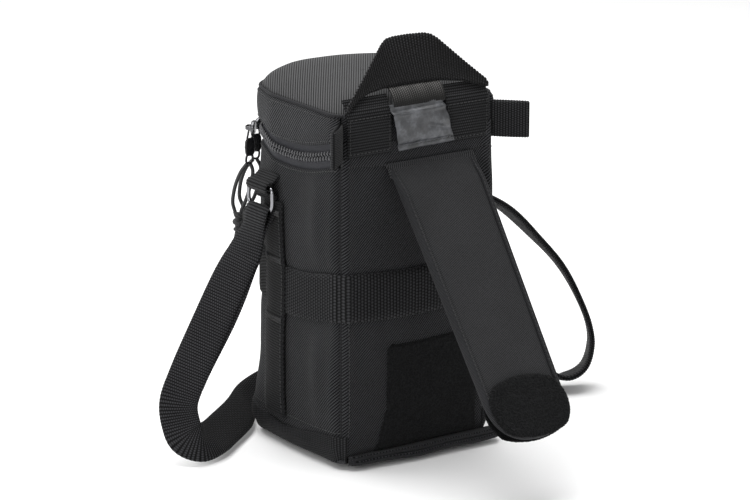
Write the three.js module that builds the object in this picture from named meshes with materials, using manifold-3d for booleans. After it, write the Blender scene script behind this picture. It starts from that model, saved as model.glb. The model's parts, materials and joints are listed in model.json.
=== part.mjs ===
// A padded camera lens pouch with a zipped lid, carry handle, belt flap and shoulder strap.
// Millimetres, +Z up. The origin is the centre of the base, on the floor. The flat back panel
// faces +Y, the rounded front faces -Y, and +X is the side where both zip sliders are parked.
import * as THREE from "three";
import { mergeVertices } from "three/addons/utils/BufferGeometryUtils.js";
import Module from "manifold-3d";

// ---- Driving dimensions ----
const HALF_WIDTH = 61;
const REAR_Y = 64;
const STRAIGHT_END_Y = -31;
const FRONT_DEPTH = 33.7;
const FRONT_POWER = 2.3; // exponent of the superellipse that rounds the front
const REAR_CORNER = 4;

const WALL = 6;
const BASE_THICK = 3;
const WALL_TOP = 203;
const BACK_TOP = 209;
const ZIP_Z = 211.5;
const LID_BOTTOM = 219.6;
const LID_EDGE_Z = 243;
// The lid's dome as levels: how far each is drawn in from the walls, and its height.
const LID_DOME = [
  [-0.2, 0],
  [-0.2, 1.5],
  [-8, 5],
  [-18, 8.6],
  [-30, 11],
];
const LID_FLARE = 1.6; // how far the lid stands out past the body
const LID_HINGE_Z = 212;
const LID_REAR_BOTTOM = 213.6;

const GAP = 0.3;
const WEB = 1.6; // thickness of one layer of webbing
const WEB_WIDTH = 25;

const BACK_Y = REAR_Y + GAP; // where the pieces sewn to the back panel start
const NEAR_X = HALF_WIDTH + WEB + 2 * GAP; // inner face of the side strips, over the band

const BAND_LOW = 98;
const BAND_HIGH = 131;
const TRIM_HIGH = 20;
const STRIP_Y = -15;
const PATCH_LEFT = 25;
const PATCH_RIGHT = -50;
const PATCH_LOW = 6;
const PATCH_HIGH = 79;
const PATCH_CORNER = 5;
const FLANGE_REACH = 9;
const STRIP_LOW = 21;
const STRIP_HIGH = 176;

const RING_X = 72;
const RING_Y = -17;
const RING_Z = 181;
const RING_WIRE = 1.75;
const RING_HALF = 14.8;
const RING_DROP = 19;
const STRAP_WIDTH = 25;
const STRAP_THICK = 1.7;
const STRAP_LAYER_STEP = 2.8; // spacing of the doubled layers
const STRAP_STEPS = 84;
const LEFT_TAIL_END = 10; // the steps where the second layers stop
const RIGHT_TAIL_START = 50;
const ADJUSTER_STEP = 52; // where the strap ends in the adjuster and its loop begins

const HANDLE_HINGE_Y = 67.4;
const HANDLE_HINGE_Z = 246.4;
const HANDLE_LEAN = THREE.MathUtils.degToRad(32);
const HANDLE_WEB = 2;
const LEG_WIDTH = 36;
const LEG_LOW = 214.6;
const LEG_HIGH = 244.2;
const LEFT_LEG_X = 39.5;
const RIGHT_LEG_X = -40;

const FLAP_HINGE_Y = 67;
const FLAP_HINGE_Z = 205.5;
const FLAP_SWING = THREE.MathUtils.degToRad(36.5);
const FLAP_X = -9;
const FLAP_TOP_WIDTH = 72;
const FLAP_END_WIDTH = 67;
const FLAP_START = 4;
const FLAP_LENGTH = 204;
const FLAP_THICK = 5;
const FLAP_END_RISE = 31; // height of the rounded end
const BINDING = 2.2;

const CORNER_X = 27; // centre of the arc that the sliders follow round the front corner
const CORNER_Y = -29;
const SLIDER_RADIUS = 34.9; // to the inner face of a slider
const PIVOT_X = 4.1; // where a pull hangs, out from the slider's inner face
const SLIDER_A_ANGLE = THREE.MathUtils.degToRad(-43);
const SLIDER_B_ANGLE = THREE.MathUtils.degToRad(-62);
const TAB_LENGTH = 25;
const CORD_RADIUS = 1.1;
const KNOT_HALF = 5.5; // half the knot's height
const CURVE_STEPS = 8; // facets on each arc of an outline

// ---- Finishes ----
const NYLON = { color: 0x26272a, roughness: 0.85 };
const LINING = { color: 0x3a3b3e, roughness: 0.95 };
const WEBBING = { color: 0x17181a, roughness: 0.8 };
const ZIP_TAPE = { color: 0x1b1c1e, roughness: 0.8 };
const ZIP_COIL = { color: 0x2b2c2f, roughness: 0.4 };
const PILE = { color: 0x111113, roughness: 1 };
const VINYL = { color: 0x4a4b4e, roughness: 0.45 };
const RIBBON = { color: 0x75767a, roughness: 0.7 };
const CHROME = { color: 0xb9babd, roughness: 0.25, metalness: 1 };
const BLACK_METAL = { color: 0x1a1a1c, roughness: 0.4, metalness: 0.8 };
const BOARD = { color: 0x303134, roughness: 0.9 };
const PLASTIC = { color: 0x1c1c1e, roughness: 0.5 };

const bag = new THREE.Group();

function add(parent, name, geometry, finish) {
  const mesh = new THREE.Mesh(geometry, new THREE.MeshStandardMaterial(finish));
  mesh.name = name;
  parent.add(mesh);
  return mesh;
}

// ---- Shape helpers ----

// Extrudes a 2-D outline upwards from z0 to z1, whichever way round its points run.
function prism(outline, z0, z1) {
  const points = outline.getPoints(CURVE_STEPS);
  if (points[0].distanceTo(points[points.length - 1]) < 1e-6) points.pop();
  if (THREE.ShapeUtils.isClockWise(points)) points.reverse();
  const shape = new THREE.Shape(points);
  shape.holes = outline.holes;
  const geometry = new THREE.ExtrudeGeometry(shape, {
    depth: z1 - z0,
    bevelEnabled: false,
    curveSegments: CURVE_STEPS,
  });
  return geometry.translate(0, 0, z0);
}

// Joins equal-sized cross-sections into one skin, with flat ends unless the run is closed.
function loft(sections, closed = false) {
  const count = sections[0].length;
  const corners = sections.flat();
  const faces = [];
  const rows = closed ? sections.length : sections.length - 1;
  for (let row = 0; row < rows; row++) {
    const here = row * count;
    const there = ((row + 1) % sections.length) * count;
    for (let i = 0; i < count; i++) {
      const next = (i + 1) % count;
      faces.push(here + i, here + next, there + next, here + i, there + next, there + i);
    }
  }
  if (!closed) {
    const last = (sections.length - 1) * count;
    for (let i = 1; i < count - 1; i++) {
      faces.push(0, i + 1, i);
      faces.push(last, last + i, last + i + 1);
    }
  }
  const geometry = new THREE.BufferGeometry().setFromPoints(corners);
  geometry.setIndex(faces);
  return geometry;
}

// A circular section around `centre`, in the plane spanned by `side` and `up`.
function circleSection(centre, side, up, radius, sides) {
  const points = [];
  for (let i = 0; i < sides; i++) {
    const angle = (2 * Math.PI * i) / sides;
    const point = centre.clone();
    point.addScaledVector(side, radius * Math.cos(angle));
    point.addScaledVector(up, radius * Math.sin(angle));
    points.push(point);
  }
  return points;
}

// A round wire bent along a flat closed curve whose plane has the normal `up`.
function wireLoop(points, up, radius, sides = 8) {
  const sections = points.map((point, i) => {
    const before = points[(i + points.length - 1) % points.length];
    const after = points[(i + 1) % points.length];
    const along = after.clone().sub(before).normalize();
    const side = up.clone().cross(along).normalize();
    return circleSection(point, side, up, radius, sides);
  });
  return loft(sections, true);
}

// A flat strip of webbing: each station holds its centre and the direction across its width.
function ribbon(stations, width, thickness) {
  const sections = stations.map(({ centre, across }, i) => {
    const before = stations[Math.max(i - 1, 0)].centre;
    const after = stations[Math.min(i + 1, stations.length - 1)].centre;
    const along = after.clone().sub(before).normalize();
    const wide = across.clone().addScaledVector(along, -across.dot(along)).normalize();
    const face = along.clone().cross(wide);
    return [
      [-1, -1],
      [1, -1],
      [1, 1],
      [-1, 1],
    ].map(([a, b]) =>
      centre
        .clone()
        .addScaledVector(wide, (a * width) / 2)
        .addScaledVector(face, (b * thickness) / 2),
    );
  });
  return loft(sections);
}

// A round cord along an open curve.
function cordAlong(points, radius) {
  const circle = new THREE.Shape().absarc(0, 0, radius, 0, 2 * Math.PI);
  const path = new THREE.CatmullRomCurve3(points);
  const steps = Math.min(80, Math.ceil(path.getLength() / (5 * radius)));
  return new THREE.ExtrudeGeometry(circle, {
    extrudePath: path,
    steps,
    curveSegments: 4,
    bevelEnabled: false,
  });
}

// ---- Plan outlines of the body ----

// The sides' ends and the rounded front, from +X round the front to -X.
function frontOutline(offset, steps = 28) {
  const half = HALF_WIDTH + offset;
  const depth = FRONT_DEPTH + offset;
  const points = [];
  for (let i = 0; i <= steps; i++) {
    const angle = (Math.PI * i) / steps;
    const c = Math.cos(angle);
    const s = Math.sin(angle);
    const x = half * Math.sign(c) * Math.abs(c) ** (2 / FRONT_POWER);
    const y = STRAIGHT_END_Y - depth * Math.max(s, 0) ** (2 / FRONT_POWER);
    points.push(new THREE.Vector2(x, y));
  }
  points[0].set(half, STRAIGHT_END_Y);
  points[steps].set(-half, STRAIGHT_END_Y);
  return points;
}

// The whole plan, with small rounded rear corners.
function planOutline(offset) {
  const half = HALF_WIDTH + offset;
  const rear = REAR_Y + offset;
  const corner = Math.max(REAR_CORNER + offset, 0.8);
  const points = frontOutline(offset);
  const steps = 4;
  for (let i = 0; i <= steps; i++) {
    const angle = Math.PI - (Math.PI / 2) * (i / steps);
    points.push(
      new THREE.Vector2(
        -half + corner + corner * Math.cos(angle),
        rear - corner + corner * Math.sin(angle),
      ),
    );
  }
  for (let i = 0; i <= steps; i++) {
    const angle = Math.PI / 2 - (Math.PI / 2) * (i / steps);
    points.push(
      new THREE.Vector2(
        half - corner + corner * Math.cos(angle),
        rear - corner + corner * Math.sin(angle),
      ),
    );
  }
  return points;
}

// A closed wall between two offsets of the plan.
function ringWall(outer, inner, z0, z1) {
  const shape = new THREE.Shape(planOutline(outer));
  shape.holes.push(new THREE.Path(planOutline(inner)));
  return prism(shape, z0, z1);
}

// A wall round the sides and front only, open along the back at rearY.
function sideWall(outer, inner, rearY, z0, z1) {
  const outside = frontOutline(outer);
  const inside = frontOutline(inner).reverse();
  const points = [
    new THREE.Vector2(HALF_WIDTH + outer, rearY),
    ...outside,
    new THREE.Vector2(-HALF_WIDTH - outer, rearY),
    new THREE.Vector2(-HALF_WIDTH - inner, rearY),
    ...inside,
    new THREE.Vector2(HALF_WIDTH + inner, rearY),
  ];
  return prism(new THREE.Shape(points), z0, z1);
}

// A panel along the back, with the plan's rounded rear corners.
function backWall(half, z0, z1) {
  const shape = new THREE.Shape();
  const corner = REAR_CORNER;
  shape.moveTo(-half, REAR_Y - WALL);
  shape.lineTo(half, REAR_Y - WALL);
  shape.absarc(half - corner, REAR_Y - corner, corner, 0, Math.PI / 2);
  shape.absarc(corner - half, REAR_Y - corner, corner, Math.PI / 2, Math.PI);
  return prism(shape, z0, z1);
}

function box(x0, x1, y0, y1, z0, z1) {
  const geometry = new THREE.BoxGeometry(x1 - x0, y1 - y0, z1 - z0);
  return geometry.translate((x0 + x1) / 2, (y0 + y1) / 2, (z0 + z1) / 2);
}

// ---- Pouch body ----
const SIDES = [
  ["left", 1],
  ["right", -1],
];

// A rectangle of hook-and-loop pile on the back panel, wider towards the base.
function loopPatch() {
  const pile = 1.5;
  const corner = PATCH_HIGH - PATCH_CORNER;
  const shape = new THREE.Shape();
  shape.moveTo(PATCH_LEFT + 9, PATCH_LOW);
  shape.lineTo(PATCH_LEFT + 1, PATCH_LOW + 28);
  shape.lineTo(PATCH_LEFT, corner);
  shape.quadraticCurveTo(PATCH_LEFT, PATCH_HIGH, PATCH_LEFT - PATCH_CORNER, PATCH_HIGH);
  shape.lineTo(PATCH_RIGHT + PATCH_CORNER, PATCH_HIGH);
  shape.quadraticCurveTo(PATCH_RIGHT, PATCH_HIGH, PATCH_RIGHT, corner);
  shape.lineTo(PATCH_RIGHT, PATCH_LOW);
  const geometry = prism(shape, 0, pile);
  return geometry.rotateX(Math.PI / 2).translate(0, BACK_Y + pile, 0);
}

// A loop of webbing sewn to the side strip, with a tunnel for the ring's straight bar.
function ringTab(sign) {
  const wall = NEAR_X + WEB + GAP;
  const outer = 4.4;
  const tunnel = 2.8;
  const shape = new THREE.Shape();
  shape.moveTo(wall, RING_Z - outer);
  shape.lineTo(RING_X, RING_Z - outer);
  shape.absarc(RING_X, RING_Z, outer, -Math.PI / 2, Math.PI / 2);
  shape.lineTo(wall, RING_Z + outer);
  shape.holes.push(new THREE.Path().absarc(RING_X, RING_Z, tunnel, 0, 2 * Math.PI, true));
  const geometry = prism(shape, -WEB_WIDTH / 2, WEB_WIDTH / 2);
  geometry.rotateX(Math.PI / 2).translate(0, RING_Y, 0);
  return sign > 0 ? geometry : geometry.rotateZ(Math.PI).translate(0, 2 * RING_Y, 0);
}

function addPouch() {
  const rear = REAR_Y - WALL - GAP;
  const low = BASE_THICK + GAP;
  const boardTop = low + 2;
  add(bag, "base_panel", prism(new THREE.Shape(planOutline(0)), 0, BASE_THICK), NYLON);
  add(bag, "base_board", prism(new THREE.Shape(planOutline(-WALL - 2.4)), low, boardTop), BOARD);
  add(bag, "side_wall", sideWall(0, -WALL, rear, low, WALL_TOP), NYLON);
  add(bag, "back_panel", backWall(HALF_WIDTH, low, BACK_TOP), NYLON);
  const lining = ringWall(-WALL - GAP, -WALL - 1.5, boardTop + GAP, WALL_TOP - 1);
  add(bag, "inner_lining", lining, LINING);
  add(bag, "base_trim", sideWall(GAP + WEB, GAP, REAR_Y - 3, GAP, TRIM_HIGH), WEBBING);
  add(bag, "waist_band", ringWall(GAP + WEB, GAP, BAND_LOW, BAND_HIGH), WEBBING);
  const tape = sideWall(-1.2, -2.6, rear, WALL_TOP + GAP, ZIP_Z - GAP);
  add(bag, "lower_zip_tape", tape, ZIP_TAPE);
  add(bag, "lower_zip_coil", sideWall(0, -0.9, rear, ZIP_Z - 3, ZIP_Z - GAP), ZIP_COIL);
  const flange = new THREE.Shape([
    new THREE.Vector2(56, BACK_Y),
    new THREE.Vector2(51, REAR_Y + FLANGE_REACH),
    new THREE.Vector2(-63, REAR_Y + FLANGE_REACH),
    new THREE.Vector2(-69, REAR_Y + 4),
    new THREE.Vector2(-60, BACK_Y),
  ]);
  add(bag, "base_flange", prism(flange, GAP, 4), NYLON);
  add(bag, "loop_patch", loopPatch(), PILE);
  const side = WEB_WIDTH / 2;
  const strip = box(NEAR_X, NEAR_X + WEB, STRIP_Y - side, STRIP_Y + side, STRIP_LOW, STRIP_HIGH);
  add(bag, "side_strip_left", strip, WEBBING);
  add(bag, "side_strip_right", strip.clone().translate(-2 * NEAR_X - WEB, 0, 0), WEBBING);
  const seamHalf = FLAP_TOP_WIDTH / 2 - 1;
  const seam = box(FLAP_X - seamHalf, FLAP_X + seamHalf, BACK_Y, REAR_Y + 2, 199, 206);
  add(bag, "flap_seam_web", seam, NYLON);
}

// ---- Rings and strap ----

// A D-shaped wire ring: straight bar on top, curved below.
function ringCurve(x) {
  const top = RING_Z;
  const straight = RING_Z - 9;
  const points = [];
  const barSteps = 3;
  for (let i = -barSteps; i <= barSteps; i++) {
    points.push([RING_Y + (i / barSteps) * RING_HALF, top]);
  }
  points.push([RING_Y + RING_HALF, top - 4.5]);
  const steps = 14;
  for (let i = 0; i <= steps; i++) {
    const angle = (Math.PI * i) / steps;
    const y = RING_Y + RING_HALF * Math.cos(angle);
    points.push([y, straight - (RING_DROP - 9) * Math.sin(angle) ** 0.8]);
  }
  points.push([RING_Y - RING_HALF, top - 4.5]);
  return points.map(([y, z]) => new THREE.Vector3(x, y, z));
}

// The strap's sewn end, folded round the curved side of its ring and leaving at `tilt`.
function strapEnd(sign, tilt, length) {
  const outer = 5.4;
  const tunnel = 3.8;
  const reach = STRAP_LAYER_STEP / 2 + STRAP_THICK / 2;
  const out = new THREE.Vector2(Math.sin(tilt), -Math.cos(tilt));
  const side = new THREE.Vector2(Math.cos(tilt), Math.sin(tilt));
  const tip = out.clone().multiplyScalar(length);
  const shape = new THREE.Shape();
  shape.moveTo(tip.x - side.x * reach, tip.y - side.y * reach);
  shape.lineTo(tip.x + side.x * reach, tip.y + side.y * reach);
  shape.absarc(0, 0, outer, tilt, tilt + Math.PI);
  shape.holes.push(new THREE.Path().absarc(0, 0, tunnel, 0, 2 * Math.PI, true));
  const geometry = prism(shape, -11, 11).rotateX(Math.PI / 2);
  geometry.translate(RING_X, RING_Y, RING_Z - RING_DROP + 1.6);
  return sign > 0 ? geometry : geometry.rotateZ(Math.PI).translate(0, 2 * RING_Y, 0);
}

// The strap's run from the left ring, down to the floor, round the front and up to the right ring.
const STRAP_RUN = [
  [77, -17, 147, -0.2, 0.98, 0],
  [93.5, -16, 126, -0.38, 0.92, 0.02],
  [113.5, -15, 93, -0.6, 0.8, 0.05],
  [134, -13.5, 58, -0.76, 0.64, 0.12],
  [143, -12, 37, -0.78, 0.5, 0.35],
  [144, -10.5, 24, -0.6, 0.42, 0.68],
  [138, -8, 14.5, -0.3, 0.15, 0.94],
  [127, -8, 12.6, 0.05, -0.2, 0.98],
  [114.5, -11.5, 12, 0.3, -0.45, 0.84],
  [97, -22, 10.9, 0.41, -0.58, 0.7],
  [83, -41.5, 10.9, 0.38, -0.5, 0.77],
  [68, -60, 11.4, 0.3, -0.42, 0.86],
  [46, -77, 12, 0.22, -0.42, 0.88],
  [12, -88, 12.8, 0.08, -0.33, 0.94],
  [-32, -95, 13.2, 0, -0.2, 0.98],
  [-78, -87, 13.4, -0.05, -0.05, 0.99],
  [-114, -62, 13.4, 0, 0, 1],
  [-137, -30, 13.4, 0.08, 0.08, 0.99],
  [-156, -8, 11, 0.33, 0.55, 0.76],
  [-173, 5, 7.6, 0.5, 0.84, 0.2],
  [-187, 8, 14, 0.53, 0.82, 0.15],
  [-194.5, 6, 28, 0.54, 0.83, 0.12],
  [-195.5, 2, 42, 0.54, 0.84, 0.12],
  [-189.5, -6, 65, 0.5, 0.86, 0.12],
  [-178, -11, 86.5, 0.42, 0.9, 0.12],
  [-159, -15, 108.5, 0.3, 0.95, 0.1],
  [-131, -17, 135, 0.1, 1, 0.05],
  [-96, -17, 155.5, 0, 1, 0],
];

// The strap's stations from one step of its run to another, moved through its face by `off`.
function strapStations(from, to, off) {
  const centres = new THREE.CatmullRomCurve3(
    STRAP_RUN.map(([x, y, z]) => new THREE.Vector3(x, y, z)),
    false,
    "centripetal",
  );
  const widths = new THREE.CatmullRomCurve3(
    STRAP_RUN.map(([, , , x, y, z]) => new THREE.Vector3(x, y, z).normalize()),
  );
  const stations = [];
  const count = Math.ceil(to - from);
  for (let i = 0; i <= count; i++) {
    const t = (from + ((to - from) * i) / count) / STRAP_STEPS;
    const centre = centres.getPoint(t);
    const across = widths.getPoint(t).normalize();
    const face = centres.getTangent(t).cross(across).normalize();
    stations.push({ centre: centre.addScaledVector(face, off), across });
  }
  return stations;
}

function addStrap() {
  const main = strapStations(0, ADJUSTER_STEP, 0);
  add(bag, "shoulder_strap", ribbon(main, STRAP_WIDTH, STRAP_THICK), WEBBING);
  const loop = strapStations(ADJUSTER_STEP + 0.05, STRAP_STEPS, 0);
  add(bag, "strap_loop", ribbon(loop, STRAP_WIDTH, STRAP_THICK), WEBBING);
  const leftTail = strapStations(0, LEFT_TAIL_END, -STRAP_LAYER_STEP);
  add(bag, "strap_tail_left", ribbon(leftTail, STRAP_WIDTH, STRAP_THICK), WEBBING);
  const rightTail = strapStations(RIGHT_TAIL_START, STRAP_STEPS, STRAP_LAYER_STEP);
  add(bag, "strap_tail_right", ribbon(rightTail, STRAP_WIDTH, STRAP_THICK), WEBBING);
  for (const [side, sign] of SIDES) {
    add(bag, "ring_tab_" + side, ringTab(sign), WEBBING);
    const curve = ringCurve(sign * RING_X);
    const ring = wireLoop(curve, new THREE.Vector3(1, 0, 0), RING_WIRE);
    add(bag, "d_ring_" + side, ring, CHROME);
    const end = sign > 0 ? strapEnd(sign, 0.44, 15) : strapEnd(sign, 0.91, 17.5);
    add(bag, "strap_end_" + side, end, WEBBING);
  }
  add(bag, "strap_adjuster", adjuster(), PLASTIC);
}

// A three-bar slider that joins the two layers of the strap, wrapped close round both.
function adjuster() {
  const stations = strapStations(ADJUSTER_STEP, ADJUSTER_STEP + 1, STRAP_LAYER_STEP / 2);
  const [station, ahead] = stations;
  const along = ahead.centre.clone().sub(station.centre).normalize();
  const across = station.across;
  const face = along.clone().cross(across).normalize();
  const wide = face.clone().cross(along).normalize();
  const slot = STRAP_WIDTH / 2 + 0.9;
  const wall = 1.3;
  const depth = 3.5;
  const outer = new THREE.Shape();
  outer.moveTo(-slot - 2 * wall, -depth - wall);
  outer.lineTo(slot + 2 * wall, -depth - wall);
  outer.lineTo(slot + 2 * wall, depth + wall);
  outer.lineTo(-slot - 2 * wall, depth + wall);
  outer.holes.push(rectanglePath(slot, -depth, depth));
  const geometry = prism(outer, -9, 9);
  const turn = new THREE.Matrix4().makeBasis(wide, face, along);
  if (turn.determinant() < 0) turn.makeBasis(wide, face.negate(), along);
  return geometry.applyMatrix4(turn.setPosition(station.centre));
}

// ---- Lid ----
function addLid() {
  const rear = REAR_Y - WALL - GAP;
  const tape = sideWall(-1.2, -2.6, rear, ZIP_Z + GAP, LID_BOTTOM - GAP);
  add(bag, "upper_zip_tape", tape, ZIP_TAPE);
  add(bag, "upper_zip_coil", sideWall(0, -0.9, rear, ZIP_Z + GAP, ZIP_Z + 3), ZIP_COIL);
  const wall = sideWall(LID_FLARE, -WALL + 1.6, rear, LID_BOTTOM, LID_EDGE_Z - GAP);
  add(bag, "lid_wall", wall, NYLON);
  const rearWall = backWall(HALF_WIDTH - 0.4, LID_REAR_BOTTOM, LID_EDGE_Z - GAP);
  add(bag, "lid_rear_wall", rearWall, NYLON);
  const layers = LID_DOME.map(([offset, z]) => domeLayer(offset, LID_EDGE_Z + z));
  add(bag, "lid_top", loft(layers), NYLON);
  add(bag, "lid_piping", lidPiping(), WEBBING);
  const insideLid = new THREE.Shape(planOutline(-WALL - 1.5));
  add(bag, "lid_lining", prism(insideLid, LID_EDGE_Z - 3, LID_EDGE_Z - GAP), LINING);
  for (const [side, sign] of SIDES) {
    add(bag, "zip_end_tab_" + side, zipEndTab(sign), WEBBING);
    const centre = sign > 0 ? LEFT_LEG_X : RIGHT_LEG_X;
    const edge = LEG_WIDTH / 2;
    const outer = BACK_Y + HANDLE_WEB;
    const leg = box(centre - edge, centre + edge, BACK_Y, outer, LEG_LOW, LEG_HIGH);
    add(bag, "handle_leg_" + side, leg, WEBBING);
  }
  add(bag, "hanger_panel", hangerPanel(), VINYL);
}

// The corded seam round the lid's top edge, along the sides and the front.
function lidPiping() {
  const offset = LID_FLARE - 0.3;
  const z = LID_EDGE_Z + 1.4;
  const line = frontOutline(offset).map((p) => new THREE.Vector3(p.x, p.y, z));
  line.unshift(new THREE.Vector3(HALF_WIDTH + offset, REAR_Y - 2, z));
  line.push(new THREE.Vector3(-HALF_WIDTH - offset, REAR_Y - 2, z));
  const up = new THREE.Vector3(0, 0, 1);
  const sections = line.map((point, i) => {
    const before = line[Math.max(i - 1, 0)];
    const after = line[Math.min(i + 1, line.length - 1)];
    const along = after.clone().sub(before).normalize();
    return circleSection(point, up.clone().cross(along), up, 1.2, 6);
  });
  return loft(sections);
}

// One level of the lid's dome, shrunk towards the middle of the plan.
function domeLayer(offset, z) {
  const middle = new THREE.Vector2(0, 4);
  const scale = 1 + offset / HALF_WIDTH;
  return planOutline(0)
    .map((p) => {
      const q = p.clone().sub(middle).multiplyScalar(scale).add(middle);
      return new THREE.Vector3(q.x, q.y, z);
    })
    .reverse();
}

// A folded tab of webbing that stands out diagonally where the zip ends.
function zipEndTab(sign) {
  const length = 26;
  const open = 3.6;
  const outer = new THREE.Shape();
  outer.moveTo(0, 1.5);
  outer.quadraticCurveTo(length * 0.35, open + 0.8, length - 3, 1.9);
  outer.absarc(length - 1.9, 0, 1.9, Math.PI / 2, -Math.PI / 2, true);
  outer.quadraticCurveTo(length * 0.35, -open - 0.8, 0, -1.5);
  const inner = new THREE.Path();
  inner.moveTo(2.5, 0);
  inner.quadraticCurveTo(length * 0.33, -open, length - 4, -0.4);
  inner.lineTo(length - 4, 0.4);
  inner.quadraticCurveTo(length * 0.33, open, 2.5, 0);
  outer.holes.push(inner);
  const geometry = prism(outer, LID_HINGE_Z + 1, LID_HINGE_Z + 1 + WEB_WIDTH);
  const turn = sign > 0 ? Math.PI / 4 : (3 * Math.PI) / 4;
  geometry.rotateZ(turn);
  return geometry.translate(sign * (HALF_WIDTH + 1.9), REAR_Y + 0.8, 0);
}

// A coated panel between the handle's legs, skewed towards the right leg.
function hangerPanel() {
  const shape = new THREE.Shape();
  shape.moveTo(23, 245);
  shape.lineTo(20, 232);
  shape.lineTo(16, 214.6);
  shape.lineTo(-30, 214.6);
  shape.lineTo(-21, 245);
  const thick = 1.2;
  const y = BACK_Y + HANDLE_WEB + GAP + thick;
  return prism(shape, 0, thick).rotateX(Math.PI / 2).translate(0, y, 0);
}

// ---- Carry handle ----

// Moves a solid drawn in the handle's own plane (x across, y up along it) to where it leans.
function leanedSolid(shape, near, thickness) {
  const geometry = prism(shape, near, near + thickness);
  geometry.rotateX(Math.PI / 2 + HANDLE_LEAN);
  return geometry.translate(0, HANDLE_HINGE_Y, HANDLE_HINGE_Z);
}

function addHandle() {
  const left = LEFT_LEG_X + LEG_WIDTH / 2;
  const right = RIGHT_LEG_X - LEG_WIDTH / 2;
  const notchTop = 13;
  const top = 46;
  const shape = new THREE.Shape();
  shape.moveTo(left, 0.8);
  shape.lineTo(left - 1, 4);
  shape.lineTo(15, top - 3);
  shape.quadraticCurveTo(11, top, 5, top);
  shape.lineTo(-20, top);
  shape.quadraticCurveTo(-25, top, -29, top - 3.5);
  shape.lineTo(right, 7);
  shape.lineTo(right, 0.8);
  shape.lineTo(RIGHT_LEG_X + LEG_WIDTH / 2, 0.8);
  shape.lineTo(RIGHT_LEG_X + LEG_WIDTH / 2, notchTop);
  shape.lineTo(LEFT_LEG_X - LEG_WIDTH / 2, notchTop);
  shape.lineTo(LEFT_LEG_X - LEG_WIDTH / 2, 0.8);
  add(bag, "carry_handle", leanedSolid(shape, 0.4, HANDLE_WEB), WEBBING);
  const band = new THREE.Shape([
    new THREE.Vector2(20.5, 0.8),
    new THREE.Vector2(20.5, 14),
    new THREE.Vector2(-21, 14),
    new THREE.Vector2(-21, 0.8),
  ]);
  add(bag, "handle_ribbon", leanedSolid(band, -1.2, 1.2), RIBBON);
}

// ---- Belt flap ----

// Outline of the flap in its own plane: x across, y is the distance from the hinge.
function flapOutline(inset, start) {
  const widthAt = (s) => {
    const share = s / FLAP_LENGTH;
    return FLAP_TOP_WIDTH / 2 + ((FLAP_END_WIDTH - FLAP_TOP_WIDTH) / 2) * share - inset;
  };
  const shoulder = FLAP_LENGTH - FLAP_END_RISE;
  const shape = new THREE.Shape();
  shape.moveTo(FLAP_X + widthAt(start), start);
  const steps = 20;
  for (let i = 0; i <= steps; i++) {
    const angle = (Math.PI * i) / steps;
    const half = widthAt(shoulder);
    const x = half * Math.sign(Math.cos(angle)) * Math.abs(Math.cos(angle)) ** 0.85;
    const rise = (FLAP_END_RISE - inset) * Math.sin(angle) ** 0.85;
    shape.lineTo(FLAP_X + x, shoulder + rise);
  }
  shape.lineTo(FLAP_X - widthAt(start), start);
  return shape;
}

// Turns a solid drawn in the flap's plane to its swung-out rest position.
function hungSolid(shape, near, thickness) {
  const geometry = prism(shape, near, near + thickness);
  geometry.rotateX(-Math.PI / 2 + FLAP_SWING);
  return geometry.translate(0, FLAP_HINGE_Y, FLAP_HINGE_Z);
}

function addFlap() {
  const pad = flapOutline(BINDING + GAP, FLAP_START);
  add(bag, "belt_flap", hungSolid(pad, 0.3, FLAP_THICK), NYLON);
  const rim = flapOutline(0, FLAP_START);
  const inner = flapOutline(BINDING, FLAP_START).getPoints();
  const rimPoints = [...rim.getPoints(), ...inner.reverse()];
  add(bag, "flap_binding", hungSolid(new THREE.Shape(rimPoints), 0, FLAP_THICK + 0.6), WEBBING);
  add(bag, "flap_pile_outer", hungSolid(pileOval(), FLAP_THICK + 0.6, 1.4), PILE);
  add(bag, "flap_pile_inner", hungSolid(pileOval(), -1.4, 1.4), PILE);
}

// The oval of hook-and-loop pile near the flap's rounded end.
function pileOval() {
  const middle = FLAP_LENGTH - BINDING - 20.5;
  return new THREE.Shape().absellipse(FLAP_X, middle, 29, 17.5, 0, 2 * Math.PI);
}

// ---- Zip sliders with their pulls ----
const wasm = await Module();
wasm.setup();

function asSolid(geometry) {
  const plain = geometry.index ? geometry.toNonIndexed() : geometry;
  plain.deleteAttribute("normal");
  plain.deleteAttribute("uv");
  const merged = mergeVertices(plain, 1e-4);
  const vertProperties = merged.getAttribute("position").array;
  const triVerts = new Uint32Array(merged.index.array);
  return new wasm.Manifold(new wasm.Mesh({ numProp: 3, vertProperties, triVerts }));
}

function join(a, b) {
  const mesh = asSolid(a).add(asSolid(b)).getMesh();
  const geometry = new THREE.BufferGeometry();
  geometry.setAttribute("position", new THREE.BufferAttribute(mesh.vertProperties, 3));
  return geometry.setIndex(new THREE.BufferAttribute(mesh.triVerts, 1));
}

// Slider: a block that rides on the coil, with a bridge whose tunnel runs along the zip.
function sliderBlock() {
  const block = box(0, 2.8, -4.5, 4.5, -4.2, 4.2);
  const bridge = new THREE.Shape();
  bridge.moveTo(2, -4);
  bridge.lineTo(6, -4);
  bridge.lineTo(PIVOT_X + 2.9, -2.8);
  bridge.lineTo(PIVOT_X + 2.9, 2.8);
  bridge.lineTo(6, 4);
  bridge.lineTo(2, 4);
  const tunnel = new THREE.Path();
  tunnel.moveTo(2.4, -2.8);
  tunnel.lineTo(2.4, 2.8);
  tunnel.lineTo(PIVOT_X + 1.7, 2.8);
  tunnel.lineTo(PIVOT_X + 1.7, -2.8);
  bridge.holes.push(tunnel);
  const arch = prism(bridge, -1.5, 1.5).rotateX(Math.PI / 2);
  return join(block, arch);
}

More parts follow.
